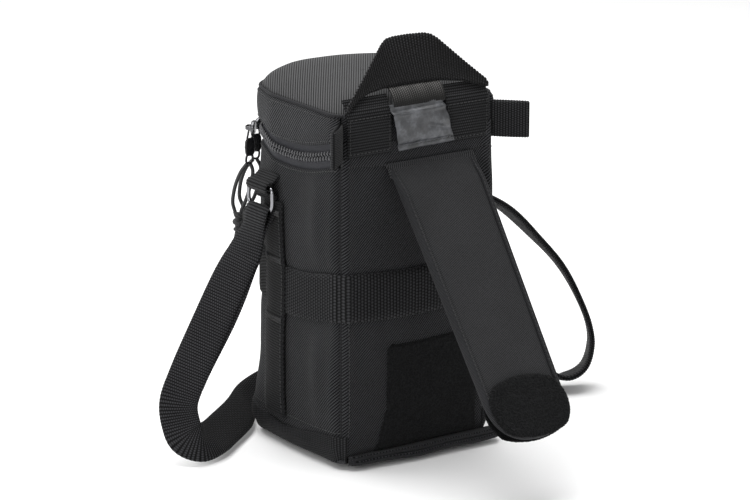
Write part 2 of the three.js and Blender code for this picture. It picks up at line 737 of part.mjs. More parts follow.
// Flat metal pull: its top bar sits in the slider's bridge, and a cord passes its lower hole.
function pullPlate() {
  const shape = new THREE.Shape();
  shape.moveTo(-3.2, 0.9);
  shape.lineTo(-3.2, -8);
  shape.lineTo(-2.6, 1 - TAB_LENGTH);
  shape.lineTo(-1.6, -TAB_LENGTH);
  shape.lineTo(1.6, -TAB_LENGTH);
  shape.lineTo(2.6, 1 - TAB_LENGTH);
  shape.lineTo(3.2, -8);
  shape.lineTo(3.2, 0.9);
  shape.holes.push(rectanglePath(2, -6, -0.9), rectanglePath(1.4, 1.6 - TAB_LENGTH, 5 - TAB_LENGTH));
  const plate = prism(shape, -0.6, 0.6);
  return plate.rotateX(Math.PI / 2).rotateZ(Math.PI / 2).translate(PIVOT_X, 0, 0);
}

function rectanglePath(half, low, high) {
  const path = new THREE.Path();
  path.moveTo(-half, low);
  path.lineTo(-half, high);
  path.lineTo(half, high);
  path.lineTo(half, low);
  return path;
}

// The pull cord's loop, hanging from the plate to its knot; `bow` spreads the two strands.
function cordLoop(bow) {
  const top = -TAB_LENGTH - 0.9;
  const half = [
    [0, 1.3, top],
    [0.2, bow * 0.75, top - 5],
    [0.4, bow, top - 12],
    [0.5, bow, top - 20],
    [0.5, bow * 0.7 + 0.7, top - 28],
    [0.5, 2.4, top - 34],
    [0.5, 1.7, top - 37],
  ];
  const points = half.map(([x, y, z]) => new THREE.Vector3(PIVOT_X + x, y, z));
  points.push(new THREE.Vector3(PIVOT_X + 0.5, 0, top - 38));
  for (const [x, y, z] of [...half].reverse()) {
    points.push(new THREE.Vector3(PIVOT_X + x, -y, z));
  }
  return cordAlong(points, CORD_RADIUS);
}

// The knot that closes the pull cord.
function cordKnot() {
  const profile = [];
  const steps = 8;
  for (let i = 0; i <= steps; i++) {
    const angle = -Math.PI / 2 + (Math.PI * i) / steps;
    const reach = Math.max(4 * Math.cos(angle), 0);
    profile.push(new THREE.Vector2(reach, KNOT_HALF * Math.sin(angle)));
  }
  profile[0].x = 0;
  profile[steps].x = 0;
  const knot = new THREE.LatheGeometry(profile, 12);
  knot.rotateX(Math.PI / 2);
  const loopEnd = -TAB_LENGTH - 0.9 - 38 - CORD_RADIUS;
  return knot.translate(PIVOT_X + 0.5, 0, loopEnd - GAP - KNOT_HALF);
}

function addSlider(letter, angle, bow) {
  const group = new THREE.Group();
  const x = CORNER_X + SLIDER_RADIUS * Math.cos(angle);
  const y = CORNER_Y + SLIDER_RADIUS * Math.sin(angle);
  group.position.set(x, y, ZIP_Z);
  group.rotation.z = angle;
  add(group, "zip_slider_" + letter, sliderBlock(), CHROME);
  add(group, "zip_pull_" + letter, pullPlate(), BLACK_METAL);
  add(group, "pull_cord_" + letter, cordLoop(bow), WEBBING);
  add(group, "pull_knot_" + letter, cordKnot(), WEBBING);
  bag.add(group);
}

addPouch();
addStrap();
addLid();
addHandle();
addFlap();
addSlider("a", SLIDER_A_ANGLE, 3.4);
addSlider("b", SLIDER_B_ANGLE, 4.6);

export default bag;
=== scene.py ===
# The look of the camera lens pouch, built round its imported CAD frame. Units are metres.
import json
import math

import bpy
import numpy as np
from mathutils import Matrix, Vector, noise


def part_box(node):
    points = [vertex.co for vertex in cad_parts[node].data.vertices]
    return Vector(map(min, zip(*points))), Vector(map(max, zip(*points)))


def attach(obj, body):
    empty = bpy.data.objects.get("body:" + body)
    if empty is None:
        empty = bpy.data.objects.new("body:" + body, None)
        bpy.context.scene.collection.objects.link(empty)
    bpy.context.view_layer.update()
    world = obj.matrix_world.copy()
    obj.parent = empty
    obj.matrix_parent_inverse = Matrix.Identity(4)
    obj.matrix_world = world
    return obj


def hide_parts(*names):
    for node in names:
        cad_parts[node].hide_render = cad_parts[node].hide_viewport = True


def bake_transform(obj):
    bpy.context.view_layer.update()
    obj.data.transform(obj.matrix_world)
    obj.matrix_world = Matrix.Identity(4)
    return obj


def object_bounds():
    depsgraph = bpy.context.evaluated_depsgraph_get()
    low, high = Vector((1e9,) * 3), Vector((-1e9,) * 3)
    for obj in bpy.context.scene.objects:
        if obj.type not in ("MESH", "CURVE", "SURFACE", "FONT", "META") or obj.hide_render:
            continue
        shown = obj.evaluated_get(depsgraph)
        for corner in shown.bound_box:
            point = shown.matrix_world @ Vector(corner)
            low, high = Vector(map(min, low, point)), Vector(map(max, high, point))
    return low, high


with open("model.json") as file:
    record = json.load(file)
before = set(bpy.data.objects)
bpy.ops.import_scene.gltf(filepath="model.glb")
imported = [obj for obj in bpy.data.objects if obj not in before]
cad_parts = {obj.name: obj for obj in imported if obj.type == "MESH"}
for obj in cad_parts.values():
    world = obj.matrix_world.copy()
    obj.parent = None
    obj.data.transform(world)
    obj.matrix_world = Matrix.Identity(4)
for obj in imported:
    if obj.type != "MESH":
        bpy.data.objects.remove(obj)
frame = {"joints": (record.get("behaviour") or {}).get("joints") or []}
CAD_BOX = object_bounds()

MM = 0.001
UP = np.array([0.0, 0.0, 1.0])

# ---- Sizes taken from the frame ----
WALL_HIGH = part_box("side_wall")[1]
BACK_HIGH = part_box("back_panel")[1]
HALF = WALL_HIGH.x
REAR = BACK_HIGH.y
WALL_TOP = WALL_HIGH.z
LID_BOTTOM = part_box("lid_wall")[0].z
LID_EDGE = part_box("lid_top")[0].z
BAND_LOW, BAND_HIGH = (c.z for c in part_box("waist_band"))
TRIM_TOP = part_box("base_trim")[1].z
RING_LOW, RING_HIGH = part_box("d_ring_left")
JOINTS = {j["name"]: j for j in frame["joints"]}

# ---- Sizes repeated from the design ----
STRAIGHT_END = -31 * MM
FRONT_DEPTH = 33.7 * MM
FRONT_POWER = 2.3
ZIP_MIDDLE = 211.5 * MM


# ---- Camera, at the photograph's view ----
CAMERA_TARGET = Vector((-14.6, -6, 124.3)) * MM
CAMERA_AZIMUTH = math.radians(145.4)
CAMERA_ELEVATION = math.radians(15.7)
CAMERA_DISTANCE = 2.5
CAMERA_LENS = 173.5


def make_camera():
    az, el = CAMERA_AZIMUTH, CAMERA_ELEVATION
    back = Vector((math.sin(az) * math.cos(el), -math.cos(az) * math.cos(el), math.sin(el)))
    data = bpy.data.cameras.new("camera")
    data.lens = CAMERA_LENS
    data.sensor_width = 36
    data.clip_end = 20
    camera = bpy.data.objects.new("camera", data)
    bpy.context.scene.collection.objects.link(camera)
    camera.location = CAMERA_TARGET + back * CAMERA_DISTANCE
    camera.rotation_euler = (-back).to_track_quat("-Z", "Y").to_euler()
    bpy.context.scene.camera = camera


make_camera()


# ---- Mesh helpers ----
def new_object(name, vertices, faces, uvs):
    """A linked, smooth mesh object; uvs holds one (u, v) in metres for each face corner."""
    mesh = bpy.data.meshes.new(name)
    mesh.from_pydata([tuple(map(float, v)) for v in vertices], [], faces)
    layer = mesh.uv_layers.new(name="cloth")
    layer.data.foreach_set("uv", np.asarray(uvs, np.float32).ravel())
    mesh.polygons.foreach_set("use_smooth", [True] * len(mesh.polygons))
    mesh.update()
    obj = bpy.data.objects.new(name, mesh)
    bpy.context.scene.collection.objects.link(obj)
    return obj


def lengths_along(points):
    """Cumulative length at each of the points."""
    steps = np.linalg.norm(np.diff(points, axis=0), axis=1)
    return np.concatenate([[0.0], np.cumsum(steps)])


def at_length(along, rows, t):
    """Rows of numbers, read off at the distances t along their line."""
    return np.stack([np.interp(t, along, rows[:, k]) for k in range(rows.shape[1])], -1)


def together(*values):
    """The values as float arrays of one shape."""
    return np.broadcast_arrays(*(np.asarray(value, float) for value in values))


def grid(a, b):
    """Two grids, whose rows follow a and whose columns follow b."""
    return np.meshgrid(a, b, indexing="ij")


def bulged(x, power):
    """A power of x that keeps its sign; it squares off a circle's cosine and sine."""
    return np.sign(x) * np.abs(x) ** power


def sweep(name, sections, closed=False):
    """Joins equal sections, each a closed ring of points, into a skin with metre UVs."""
    s = np.asarray(sections, float)
    rows, count = s.shape[:2]
    along = lengths_along(s.mean(axis=1))
    if closed:
        extra = np.linalg.norm(s[0].mean(axis=0) - s[-1].mean(axis=0))
        along = np.append(along, along[-1] + extra)
    closing = np.concatenate([s, s[:, :1]], axis=1)
    across = max((lengths_along(ring) for ring in closing), key=lambda found: found[-1])
    faces, uvs = [], []
    for i in range(rows if closed else rows - 1):
        j = (i + 1) % rows
        for a in range(count):
            b = (a + 1) % count
            faces.append((i * count + a, i * count + b, j * count + b, j * count + a))
            uvs += [(along[i], across[a]), (along[i], across[a + 1])]
            uvs += [(along[i + 1], across[a + 1]), (along[i + 1], across[a])]
    if not closed:
        faces.append(tuple(range(count - 1, -1, -1)))
        last = (rows - 1) * count
        faces.append(tuple(range(last, last + count)))
        uvs += [(0.0, across[a]) for a in range(count - 1, -1, -1)]
        uvs += [(along[-1], across[a]) for a in range(count)]
    return new_object(name, s.reshape(-1, 3), faces, uvs)


def grid_normals(p):
    """Unit normals of a grid of points: outward where its rows run clockwise and its columns up."""
    du = np.gradient(p, axis=0)
    dv = np.gradient(p, axis=1)
    n = np.cross(dv, du)
    return n / np.maximum(np.linalg.norm(n, axis=2, keepdims=True), 1e-12)


def slab(name, p, uv, thick, flip=False):
    """A closed sheet: the grid p is its outer face, and its inner face lies `thick` behind."""
    p = np.asarray(p, float)
    n = grid_normals(p) * (-1 if flip else 1)
    thick = np.asarray(thick, float)
    inner = p - n * (thick[..., None] if thick.ndim else thick)
    rows, cols = p.shape[:2]
    vertices = np.concatenate([p.reshape(-1, 3), inner.reshape(-1, 3)])
    back = rows * cols
    faces, uvs = [], []

    def quad(a, b, c, d):
        corners = [a, b, c, d] if flip else [d, c, b, a]
        faces.append(tuple(corners))
        for k in corners:
            k %= back
            uvs.append(tuple(uv[k // cols][k % cols]))

    for i in range(rows - 1):
        for j in range(cols - 1):
            a, b = i * cols + j, (i + 1) * cols + j
            quad(a, b, b + 1, a + 1)
            quad(back + a, back + a + 1, back + b + 1, back + b)
    for i in range(rows - 1):
        for j, turn in ((0, False), (cols - 1, True)):
            a, b = i * cols + j, (i + 1) * cols + j
            quad(*((b, a, back + a, back + b) if not turn else (a, b, back + b, back + a)))
    for j in range(cols - 1):
        for i, turn in ((0, False), (rows - 1, True)):
            a, b = i * cols + j, i * cols + j + 1
            quad(*((a, b, back + b, back + a) if not turn else (b, a, back + a, back + b)))
    return new_object(name, vertices, faces, uvs)


def resample(points, count):
    """The open line through `points`, as `count` evenly spaced points."""
    points = np.asarray(points, float)
    along = lengths_along(points)
    return at_length(along, points, np.linspace(0, along[-1], count))


def spline(points, count):
    """A centripetal Catmull-Rom curve through rows of numbers, sampled evenly by parameter."""
    p = np.asarray(points, float)
    p = np.vstack([2 * p[0] - p[1], p, 2 * p[-1] - p[-2]])
    gaps = np.linalg.norm(np.diff(p[:, :3], axis=0), axis=1) ** 0.5
    knots = np.concatenate([[0.0], np.cumsum(gaps)])
    made = []
    for t in np.linspace(0, len(p) - 3 - 1e-9, count):
        k = int(t)
        t0, t1, t2, t3 = knots[k : k + 4]
        x = t1 + (t - k) * (t2 - t1)
        a1 = (t1 - x) / (t1 - t0) * p[k] + (x - t0) / (t1 - t0) * p[k + 1]
        a2 = (t2 - x) / (t2 - t1) * p[k + 1] + (x - t1) / (t2 - t1) * p[k + 2]
        a3 = (t3 - x) / (t3 - t2) * p[k + 2] + (x - t2) / (t3 - t2) * p[k + 3]
        b1 = (t2 - x) / (t2 - t0) * a1 + (x - t0) / (t2 - t0) * a2
        b2 = (t3 - x) / (t3 - t1) * a2 + (x - t1) / (t3 - t1) * a3
        made.append((t2 - x) / (t2 - t1) * b1 + (x - t1) / (t2 - t1) * b2)
    return np.array(made)


def unit(v):
    v = np.asarray(v, float)
    return v / np.maximum(np.linalg.norm(v, axis=-1, keepdims=True), 1e-12)


def directions(points, closed=False):
    """Unit directions along a line of points."""
    if closed:
        return unit(np.roll(points, -1, 0) - np.roll(points, 1, 0))
    return unit(np.gradient(points, axis=0))


def square_to(along, across):
    """The width directions, turned square to the line."""
    return unit(across - along * np.sum(across * along, axis=1, keepdims=True))


def tube(name, points, radius, sides, up, closed=False):
    """A round tube; `up` is a steady direction that is never along the line."""
    points = np.asarray(points, float)
    along = directions(points, closed)
    side = unit(np.cross(along, np.asarray(up, float)))
    lift = np.cross(side, along)
    radius = np.broadcast_to(np.asarray(radius, float), (len(points),))
    turn = np.linspace(0, 2 * np.pi, sides, endpoint=False)
    ring = side[:, None] * np.cos(turn)[None, :, None] + lift[:, None] * np.sin(turn)[None, :, None]
    return sweep(name, points[:, None] + ring * radius[:, None, None], closed)


def wire_loop(name, points, count, radius, up):
    """A round wire along a closed line, at `count` - 1 even points."""
    line = resample(np.vstack([points, points[:1]]), count)[:-1]
    return tube(name, line, radius, 10, up, closed=True)


def strap(name, centres, across, width, thick):
    """A strip with rounded edges; `across` is its width direction."""
    along = directions(centres)
    wide = square_to(along, np.broadcast_to(np.asarray(across, float), centres.shape))
    face = np.cross(along, wide)
    half, edge = width / 2, thick / 2
    flat = np.linspace(-1, 1, 7) * (half - edge)
    turn = np.linspace(-math.pi / 2, math.pi / 2, 6)[1:-1]
    w = np.concatenate([flat, half - edge + edge * np.cos(turn), flat[::-1]])
    w = np.concatenate([w, -(half - edge) - edge * np.cos(turn)])
    h = np.concatenate([np.full(7, -edge), edge * np.sin(turn), np.full(7, edge)])
    h = np.concatenate([h, -edge * np.sin(turn)])
    ring = wide[:, None] * w[None, :, None] + face[:, None] * h[None, :, None]
    return sweep(name, centres[:, None] + ring)


def joined(name, objects):
    """Several mesh objects as one, keeping their UVs."""
    bpy.ops.object.select_all(action="DESELECT")
    for obj in objects:
        obj.select_set(True)
    bpy.context.view_layer.objects.active = objects[0]
    bpy.ops.object.join()
    objects[0].name = name
    objects[0].data.name = name
    return objects[0]


def stitches(name, points, outward, pitch=3.0 * MM, length=2.1 * MM, radius=0.29 * MM):
    """A row of separate thread stitches lying on a surface along a line."""
    points = np.asarray(points, float)
    along = lengths_along(points)
    outward = np.broadcast_to(np.asarray(outward, float), points.shape)
    vertices, faces = [], []
    sides = 6
    shape = [(-0.5, 0.35), (-0.28, 1.0), (0.28, 1.0), (0.5, 0.35)]
    for middle in np.arange(pitch / 2, along[-1], pitch):
        here = at_length(along, points, middle)
        ahead = at_length(along, points, middle + 0.4 * MM)
        if np.linalg.norm(ahead - here) < 1e-7:
            continue
        line = unit(ahead - here)
        out = unit(at_length(along, outward, middle))
        side = unit(np.cross(line, out))
        start = len(vertices)
        for share, fat in shape:
            for k in range(sides):
                angle = 2 * math.pi * k / sides
                ring = side * math.cos(angle) + out * (0.8 * math.sin(angle))
                vertices.append(here + line * share * length + ring * radius * fat)
        for row in range(len(shape) - 1):
            for k in range(sides):
                a, b = start + row * sides + k, start + row * sides + (k + 1) % sides
                faces.append((a, a + sides, b + sides, b))
        faces.append(tuple(start + k for k in range(sides)))
        last = start + (len(shape) - 1) * sides
        faces.append(tuple(last + k for k in range(sides - 1, -1, -1)))
    return new_object(name, vertices, faces, np.zeros((sum(map(len, faces)), 2)))


def wrinkle(points, size, height, seed=0.0):
    """Smooth pseudo-random heights for points, the same on every run."""
    shape = np.asarray(points).shape[:-1]
    flat = np.asarray(points, float).reshape(-1, 3)
    made = [noise.noise(Vector(p / size) + Vector((seed, seed * 1.7, seed * 0.3))) for p in flat]
    return np.array(made).reshape(shape) * height


def smooth(x, a, b):
    t = np.clip((np.asarray(x, float) - a) / (b - a), 0, 1)
    return t * t * (3 - 2 * t)


def finish_piece(obj, body, material, slot, *nodes):
    """Paints a piece, puts it on its body, and hides the frame parts that it stands for."""
    obj.data.materials.clear()
    obj.data.materials.append(material)
    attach(obj, body)
    if nodes:
        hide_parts(*nodes)
    return obj


# ---- Materials ----
def give(tree, made, inputs):
    """Gives a node its inputs, as values or as links."""
    for key, value in inputs.items():
        if isinstance(value, bpy.types.NodeSocket):
            tree.links.new(value, made.inputs[key])
        else:
            made.inputs[key].default_value = value


def node(tree, kind, inputs=None, **settings):
    """A shader node with its properties and its inputs set."""
    made = tree.nodes.new(kind)
    for key, value in settings.items():
        setattr(made, key, value)
    give(tree, made, inputs or {})
    return made


def math_node(tree, operation, a, b=0.0, c=0.0):
    return node(tree, "ShaderNodeMath", {0: a, 1: b, 2: c}, operation=operation).outputs[0]


def scaled(tree, a, b, c):
    """a times b, plus c."""
    return math_node(tree, "MULTIPLY_ADD", a, b, c)


def clamped(tree, value):
    return math_node(tree, "MINIMUM", math_node(tree, "MAXIMUM", value, 0.0), 1.0)


def bump(tree, height, distance, strength):
    inputs = {"Height": height, "Distance": distance, "Strength": strength}
    return node(tree, "ShaderNodeBump", inputs).outputs[0]


def wave(tree, value, pitch, shift=0.0):
    """A smooth 0 to 1 ripple that repeats every `pitch` metres of `value`."""
    turned = scaled(tree, value, 2 * math.pi / pitch, shift)
    return scaled(tree, math_node(tree, "SINE", turned), 0.5, 0.5)


def cloth_axes(tree):
    """The coordinates along and across the cloth, in metres."""
    uv = node(tree, "ShaderNodeUVMap", uv_map="cloth").outputs[0]
    parts = node(tree, "ShaderNodeSeparateXYZ", {0: uv})
    return parts.outputs[0], parts.outputs[1]


def place(tree):
    return node(tree, "ShaderNodeTexCoord").outputs["Object"]


def noise_node(tree, where, scale, detail=3.0, roughness=0.6):
    inputs = {"Vector": where, "Scale": scale, "Detail": detail, "Roughness": roughness}
    return node(tree, "ShaderNodeTexNoise", inputs).outputs[0]


def ramp(tree, value, stops):
    """Colour stops as (position, grey or rgb)."""
    made = node(tree, "ShaderNodeValToRGB", {0: value})
    elements = made.color_ramp.elements
    while len(elements) < len(stops):
        elements.new(0.5)
    for element, (position, colour) in zip(elements, stops):
        element.position = position
        element.color = (*colour, 1.0) if isinstance(colour, tuple) else (colour,) * 3 + (1.0,)
    return made.outputs[0]


def new_material(name):
    material = bpy.data.materials.new(name)
    material.use_nodes = True
    tree = material.node_tree
    shader = tree.nodes["Principled BSDF"]
    return material, tree, shader


def tint(colour, share):
    return tuple(min(1.0, c * share) for c in colour)


def mix(tree, share, a, b):
    """A colour between a and b."""
    made = node(tree, "ShaderNodeMix", {0: share}, data_type="RGBA")
    for index, value in ((6, a), (7, b)):
        if isinstance(value, tuple):
            made.inputs[index].default_value = (*value, 1.0)
        else:
            tree.links.new(value, made.inputs[index])
    return made.outputs[2]


def shades(tree, cloudy, colour, light):
    """The dark and light tones of a weave, each varied by slow noise."""
    lit = mix(tree, cloudy, tint(colour, light[0]), tint(colour, light[1]))
    return mix(tree, cloudy, tint(colour, 0.03), tint(colour, 0.12)), lit


def twill(name, colour, pitch, depth, sheen, rough=0.75, upright=False):
    """Nylon twill: diagonal ribs broken into yarns, with soft shading and faint wear."""
    material, tree, shader = new_material(name)
    u, v = cloth_axes(tree)
    where = place(tree)
    lean, crossed = (-0.69, 0.15) if upright else (1.0, 0.55)
    cross = scaled(tree, v, -1.0, math_node(tree, "MULTIPLY", u, lean))
    wobble = math_node(tree, "MULTIPLY", noise_node(tree, where, 420.0), 0.35 * MM)
    rib = wave(tree, math_node(tree, "ADD", scaled(tree, v, lean, u), wobble), pitch)
    yarn = wave(tree, cross, pitch * 0.8)
    weave = scaled(tree, math_node(tree, "MULTIPLY", rib, yarn), crossed,
                   math_node(tree, "MULTIPLY", rib, 1 - crossed))
    height = scaled(tree, noise_node(tree, where, 1500.0, 2.0), 0.5, weave)
    height = clamped(tree, scaled(tree, height, 1.7, -0.55))
    dark, light = shades(tree, noise_node(tree, where, 17.0, 4.0), colour, (2.5, 4.4))
    shader.inputs["Base Color"].default_value = (*colour, 1.0)
    give(tree, shader, {
        "Base Color": mix(tree, height, dark, light),
        "Roughness": scaled(tree, height, -0.16, rough + 0.1),
        "Normal": bump(tree, height, depth, 0.9),
        "Sheen Weight": sheen, "Sheen Roughness": 0.45, "Specular IOR Level": 0.1,
    })
    return material


def ribbed(name, colour, pitch=1.9 * MM, depth=0.16 * MM, sheen=0.05, rough=0.66, fade=None):
    """Webbing or grosgrain: cross ribs, each a row of yarns that is half a step off the last.

    `fade` darkens it below its first and up to its second distance across: painted shade, where the cloth
    turns away from the light."""
    material, tree, shader = new_material(name)
    u, v = cloth_axes(tree)
    row = math_node(tree, "FLOOR", math_node(tree, "DIVIDE", u, pitch))
    yarn_pitch = 0.85 * pitch
    rib = wave(tree, u, pitch, -math.pi / 2)
    yarn = wave(tree, scaled(tree, row, 0.5 * yarn_pitch, v), yarn_pitch)
    where = place(tree)
    dots = math_node(tree, "MULTIPLY", rib, yarn)
    height = scaled(tree, dots, 0.8, math_node(tree, "MULTIPLY", rib, 0.2))
    height = scaled(tree, noise_node(tree, where, 1700.0, 2.0), 0.4, height)
    height = clamped(tree, scaled(tree, height, 1.6, -0.35))
    dark, light = shades(tree, noise_node(tree, where, 26.0, 3.0), colour, (2.3, 3.9))
    tone = mix(tree, height, dark, light)
    # Painted shade: below the first distance across, the colour darkens towards a darker tint, for the shade
    # where the cloth turns inward.
    if fade:
        shade = node(tree, "ShaderNodeMapRange", {0: v, 1: fade[0], 2: fade[1]}).outputs[0]
        tone = mix(tree, shade, tint(colour, 0.3), tone)
    give(tree, shader, {
        "Base Color": tone,
        "Roughness": scaled(tree, height, -0.2, rough + 0.12),
        "Normal": bump(tree, height, depth, 1.0),
        "Sheen Weight": sheen, "Sheen Roughness": 0.4, "Specular IOR Level": 0.12,
    })
    return material


def pile(name, colour):
    """Hook-and-loop pile: matte, speckled with tiny bright and dark loops."""
    material, tree, shader = new_material(name)
    where = place(tree)
    cells = node(tree, "ShaderNodeTexVoronoi", {"Vector": where, "Scale": 900.0}).outputs[0]
    height = scaled(tree, noise_node(tree, where, 2300.0, 3.0), 0.8, cells)
    tone = mix(tree, noise_node(tree, where, 40.0, 4.0), tint(colour, 0.8), tint(colour, 1.5))
    spark = ramp(tree, height, [(0.35, tint(colour, 0.35)), (0.8, colour), (1.0, tint(colour, 3.2))])
    give(tree, shader, {
        "Base Color": mix(tree, 0.45, spark, tone),
        "Roughness": 0.95,
        "Normal": bump(tree, height, 0.5 * MM, 1.0),
        "Sheen Weight": 0.03, "Specular IOR Level": 0.05,
    })
    return material


def coated(name, colour):
    """Satin coated cloth with fine grain and soft creases, with painted shade in the creases' hollows and
    painted highlight on their crests.
    """
    material, tree, shader = new_material(name)
    where = place(tree)
    grain = noise_node(tree, where, 900.0, 3.0)
    crease = noise_node(tree, where, 120.0, 4.0, 0.65)
    # Painted shade and highlight: the crease noise darkens the colour in the hollows and lightens it on the
    # crests.
    crease_shade_and_highlight = [(0.3, tint(colour, 0.35)), (0.5, tint(colour, 0.9)), (0.72, tint(colour, 2.4))]
    give(tree, shader, {
        "Base Color": ramp(tree, crease, crease_shade_and_highlight),
        "Roughness": scaled(tree, grain, 0.15, 0.32),
        "Normal": bump(tree, scaled(tree, crease, 4.0, grain), 0.1 * MM, 0.6),
        "Specular IOR Level": 0.55,
    })
    return material


def metal(name, colour, metallic, rough):
    """Plated or painted metal, or hard plastic, with faint handling marks."""
    material, tree, shader = new_material(name)
    where = place(tree)
    marks = noise_node(tree, where, 260.0, 5.0, 0.7)
    give(tree, shader, {
        "Base Color": mix(tree, marks, tint(colour, 0.8), tint(colour, 1.12)),
        "Roughness": scaled(tree, marks, 2 * 0.08, rough - 0.08),
        "Normal": bump(tree, noise_node(tree, where, 1500.0, 2.0), 0.02 * MM, 0.3),
        "Metallic": metallic,
    })
    return material


def braid(name, colour):
    """Braided cord: two crossing spirals of strands."""
    material, tree, shader = new_material(name)
    u, v = cloth_axes(tree)
    one, two = (wave(tree, scaled(tree, v, slope, u), 1.3 * MM) for slope in (0.45, -0.45))
    height = math_node(tree, "MAXIMUM", one, two)
    give(tree, shader, {
        "Base Color": mix(tree, height, tint(colour, 0.35), tint(colour, 1.9)),
        "Roughness": 0.6,
        "Normal": bump(tree, height, 0.25 * MM, 1.0),
        "Sheen Weight": 0.15,
    })
    return material


# Painted light: the lid's wall and top use the body's nylon in a lighter colour, for the stronger light that
# falls on the lid.
LID_NYLON_PAINTED_LIGHT = twill("lid_wall_twill", (0.0172, 0.0175, 0.0187), 2.2 * MM, 0.55 * MM, sheen=0.06)
NYLON = twill("nylon_twill", (0.0108, 0.011, 0.0119), 2.2 * MM, 0.55 * MM, sheen=0.05)
LID_CLOTH_PAINTED_LIGHT = twill("lid_twill", (0.0172, 0.0173, 0.0178), 1.9 * MM, 0.2 * MM, sheen=0.08, upright=True)
FLAP_CLOTH = twill("flap_twill", (0.0132, 0.0133, 0.014), 1.6 * MM, 0.06 * MM, sheen=0.05)
LINING = twill("lining_cloth", (0.07, 0.071, 0.075), 0.8 * MM, 0.05 * MM, sheen=0.4, rough=0.85)
WEBBING = ribbed("webbing", (0.0086, 0.0087, 0.0093), depth=0.3 * MM)
STRIP_WEBBING = ribbed("strip_webbing", (0.0052, 0.0053, 0.0057), depth=0.3 * MM)
HANDLE_WEBBING = ribbed("handle_webbing", (0.0175, 0.0176, 0.0184), 2.2 * MM, depth=0.45 * MM)
BAND_WEBBING = ribbed("band_webbing", (0.0105, 0.0106, 0.0114), 2.6 * MM, depth=0.4 * MM)
STRAP_WEBBING = ribbed("strap_webbing", (0.011, 0.0111, 0.012), depth=0.3 * MM)
BINDING = ribbed("binding", (0.012, 0.0121, 0.0132), 0.9 * MM, 0.08 * MM)
# The ribbon's colour is painted darker towards its lower edge: painted shade.
RIBBON = ribbed("ribbon", (0.038, 0.037, 0.036), 1.7 * MM, 0.15 * MM, sheen=0.1, fade=(0.5 * MM, 11 * MM))
TAPE = ribbed("zip_tape", (0.022, 0.0225, 0.0258), 0.7 * MM, 0.05 * MM, rough=0.5)
COIL = metal("zip_coil", (0.06, 0.06, 0.064), 0.0, 0.2)
THREAD = braid("thread", (0.008, 0.008, 0.0088))
PILE = pile("pile", (0.0045, 0.0046, 0.0048))
VINYL = coated("coated_cloth", (0.048, 0.05, 0.055))
CHROME = metal("ring_metal", (0.27, 0.27, 0.285), 1.0, 0.14)
BLACK_METAL = metal("black_metal", (0.01, 0.01, 0.011), 0.0, 0.22)
PLASTIC = metal("black_plastic", (0.014, 0.014, 0.015), 0.0, 0.42)
GUNMETAL = metal("slider_metal", (0.12, 0.12, 0.125), 1.0, 0.25)
BOARD = metal("stiffener_board", (0.05, 0.05, 0.052), 0.0, 0.8)
CORD = braid("cord", (0.01, 0.01, 0.0108))


# ---- Webbing with real ribs ----
RIB = 1.9 * MM
RIB_SAMPLES = 4


def evenly(points, across, pitch):
    """Centres and width directions resampled at a steady spacing along the line."""
    rows = np.hstack([np.asarray(points, float), np.broadcast_to(across, (len(points), 3))])
    along = lengths_along(rows[:, :3])
    count = max(8, int(round(along[-1] / pitch)) + 1)
    made = at_length(along, rows, np.linspace(0, along[-1], count))
    return made[:, :3], made[:, 3:]


def webbing(name, points, across, width, thick, rib=0.17 * MM, cup=0.0):
    """A strip of ribbed webbing along a line; `cup` bows it across its width."""
    centres, across = evenly(points, across, RIB / RIB_SAMPLES)
    along = directions(centres)
    wide = square_to(along, across)
    face = np.cross(along, wide)
    phase = 2 * np.pi * np.arange(len(centres)) / RIB_SAMPLES
    swell = rib * np.cos(phase)
    share = np.array([-1.0, -0.93, -0.6, -0.2, 0.2, 0.6, 0.93, 1.0])
    w = np.concatenate([share, share[::-1][1:-1]])
    h = np.concatenate([[0.0], np.full(6, -1.0), [0.0], np.full(6, 1.0)])
    half = width / 2 + 0.8 * swell
    depth = thick / 2 + swell
    bow = cup * (1 - w**2)
    ring = wide[:, None] * (w[None, :] * half[:, None])[..., None]
    ring = ring + face[:, None] * (h[None, :] * depth[:, None] + bow[None, :])[..., None]
    return sweep(name, centres[:, None] + ring)


# ---- The body's plan line and padded skin ----
SHELL_OUT = 1.2 * MM
STRIP_S = 71.5 * MM
CORNER_RADIUS = 9.5 * MM


def make_plan():
    """The closed plan line, from the middle of the back round by +X, as even points."""
    half, rear, r = HALF + SHELL_OUT, REAR, CORNER_RADIUS
    points = [(0.0, rear), (half - r, rear)]
    for t in np.linspace(math.pi / 2, 0, 12)[1:]:
        points.append((half - r + r * math.cos(t), rear - r + r * math.sin(t)))
    depth = FRONT_DEPTH + SHELL_OUT
    for t in np.linspace(0, math.pi / 2, 60):
        x = half * math.cos(t) ** (2 / FRONT_POWER)
        y = STRAIGHT_END - depth * math.sin(t) ** (2 / FRONT_POWER)
        points.append((max(x, 0.0), y))
    right = [(-x, y) for x, y in points[::-1]]
    line = np.array(points + right[1:])
    return resample(line, 961)


PLAN = make_plan()
PLAN_S = lengths_along(PLAN)
PLAN_LENGTH = PLAN_S[-1]
CORNER_S = HALF + SHELL_OUT - CORNER_RADIUS + CORNER_RADIUS * math.pi / 4  # the left rear corner seam
FAR_S = PLAN_LENGTH - CORNER_S  # the right rear corner seam
SIDES = (("left", 1), ("right", -1))
_slope = unit(np.gradient(np.vstack([PLAN[-3:-1], PLAN, PLAN[1:3]]), axis=0)[2:-2])
PLAN_OUT = np.stack([-_slope[:, 1], _slope[:, 0]], 1)


def plan_at(s):
    """Places and outward directions at the plan distances s."""
    s = np.mod(s, PLAN_LENGTH)
    return at_length(PLAN_S, PLAN, s), unit(at_length(PLAN_S, PLAN_OUT, s))


def outward_at(s):
    """Outward directions in 3-D at the plan distances in the list s."""
    return np.hstack([plan_at(np.asarray(s))[1], np.zeros((len(s), 1))])


def from_corner(s):
    """Signed distance past the nearer rear corner seam: positive on the sides and front."""
    s = np.mod(s, PLAN_LENGTH)
    s = np.minimum(s, PLAN_LENGTH - s)
    return s - CORNER_S


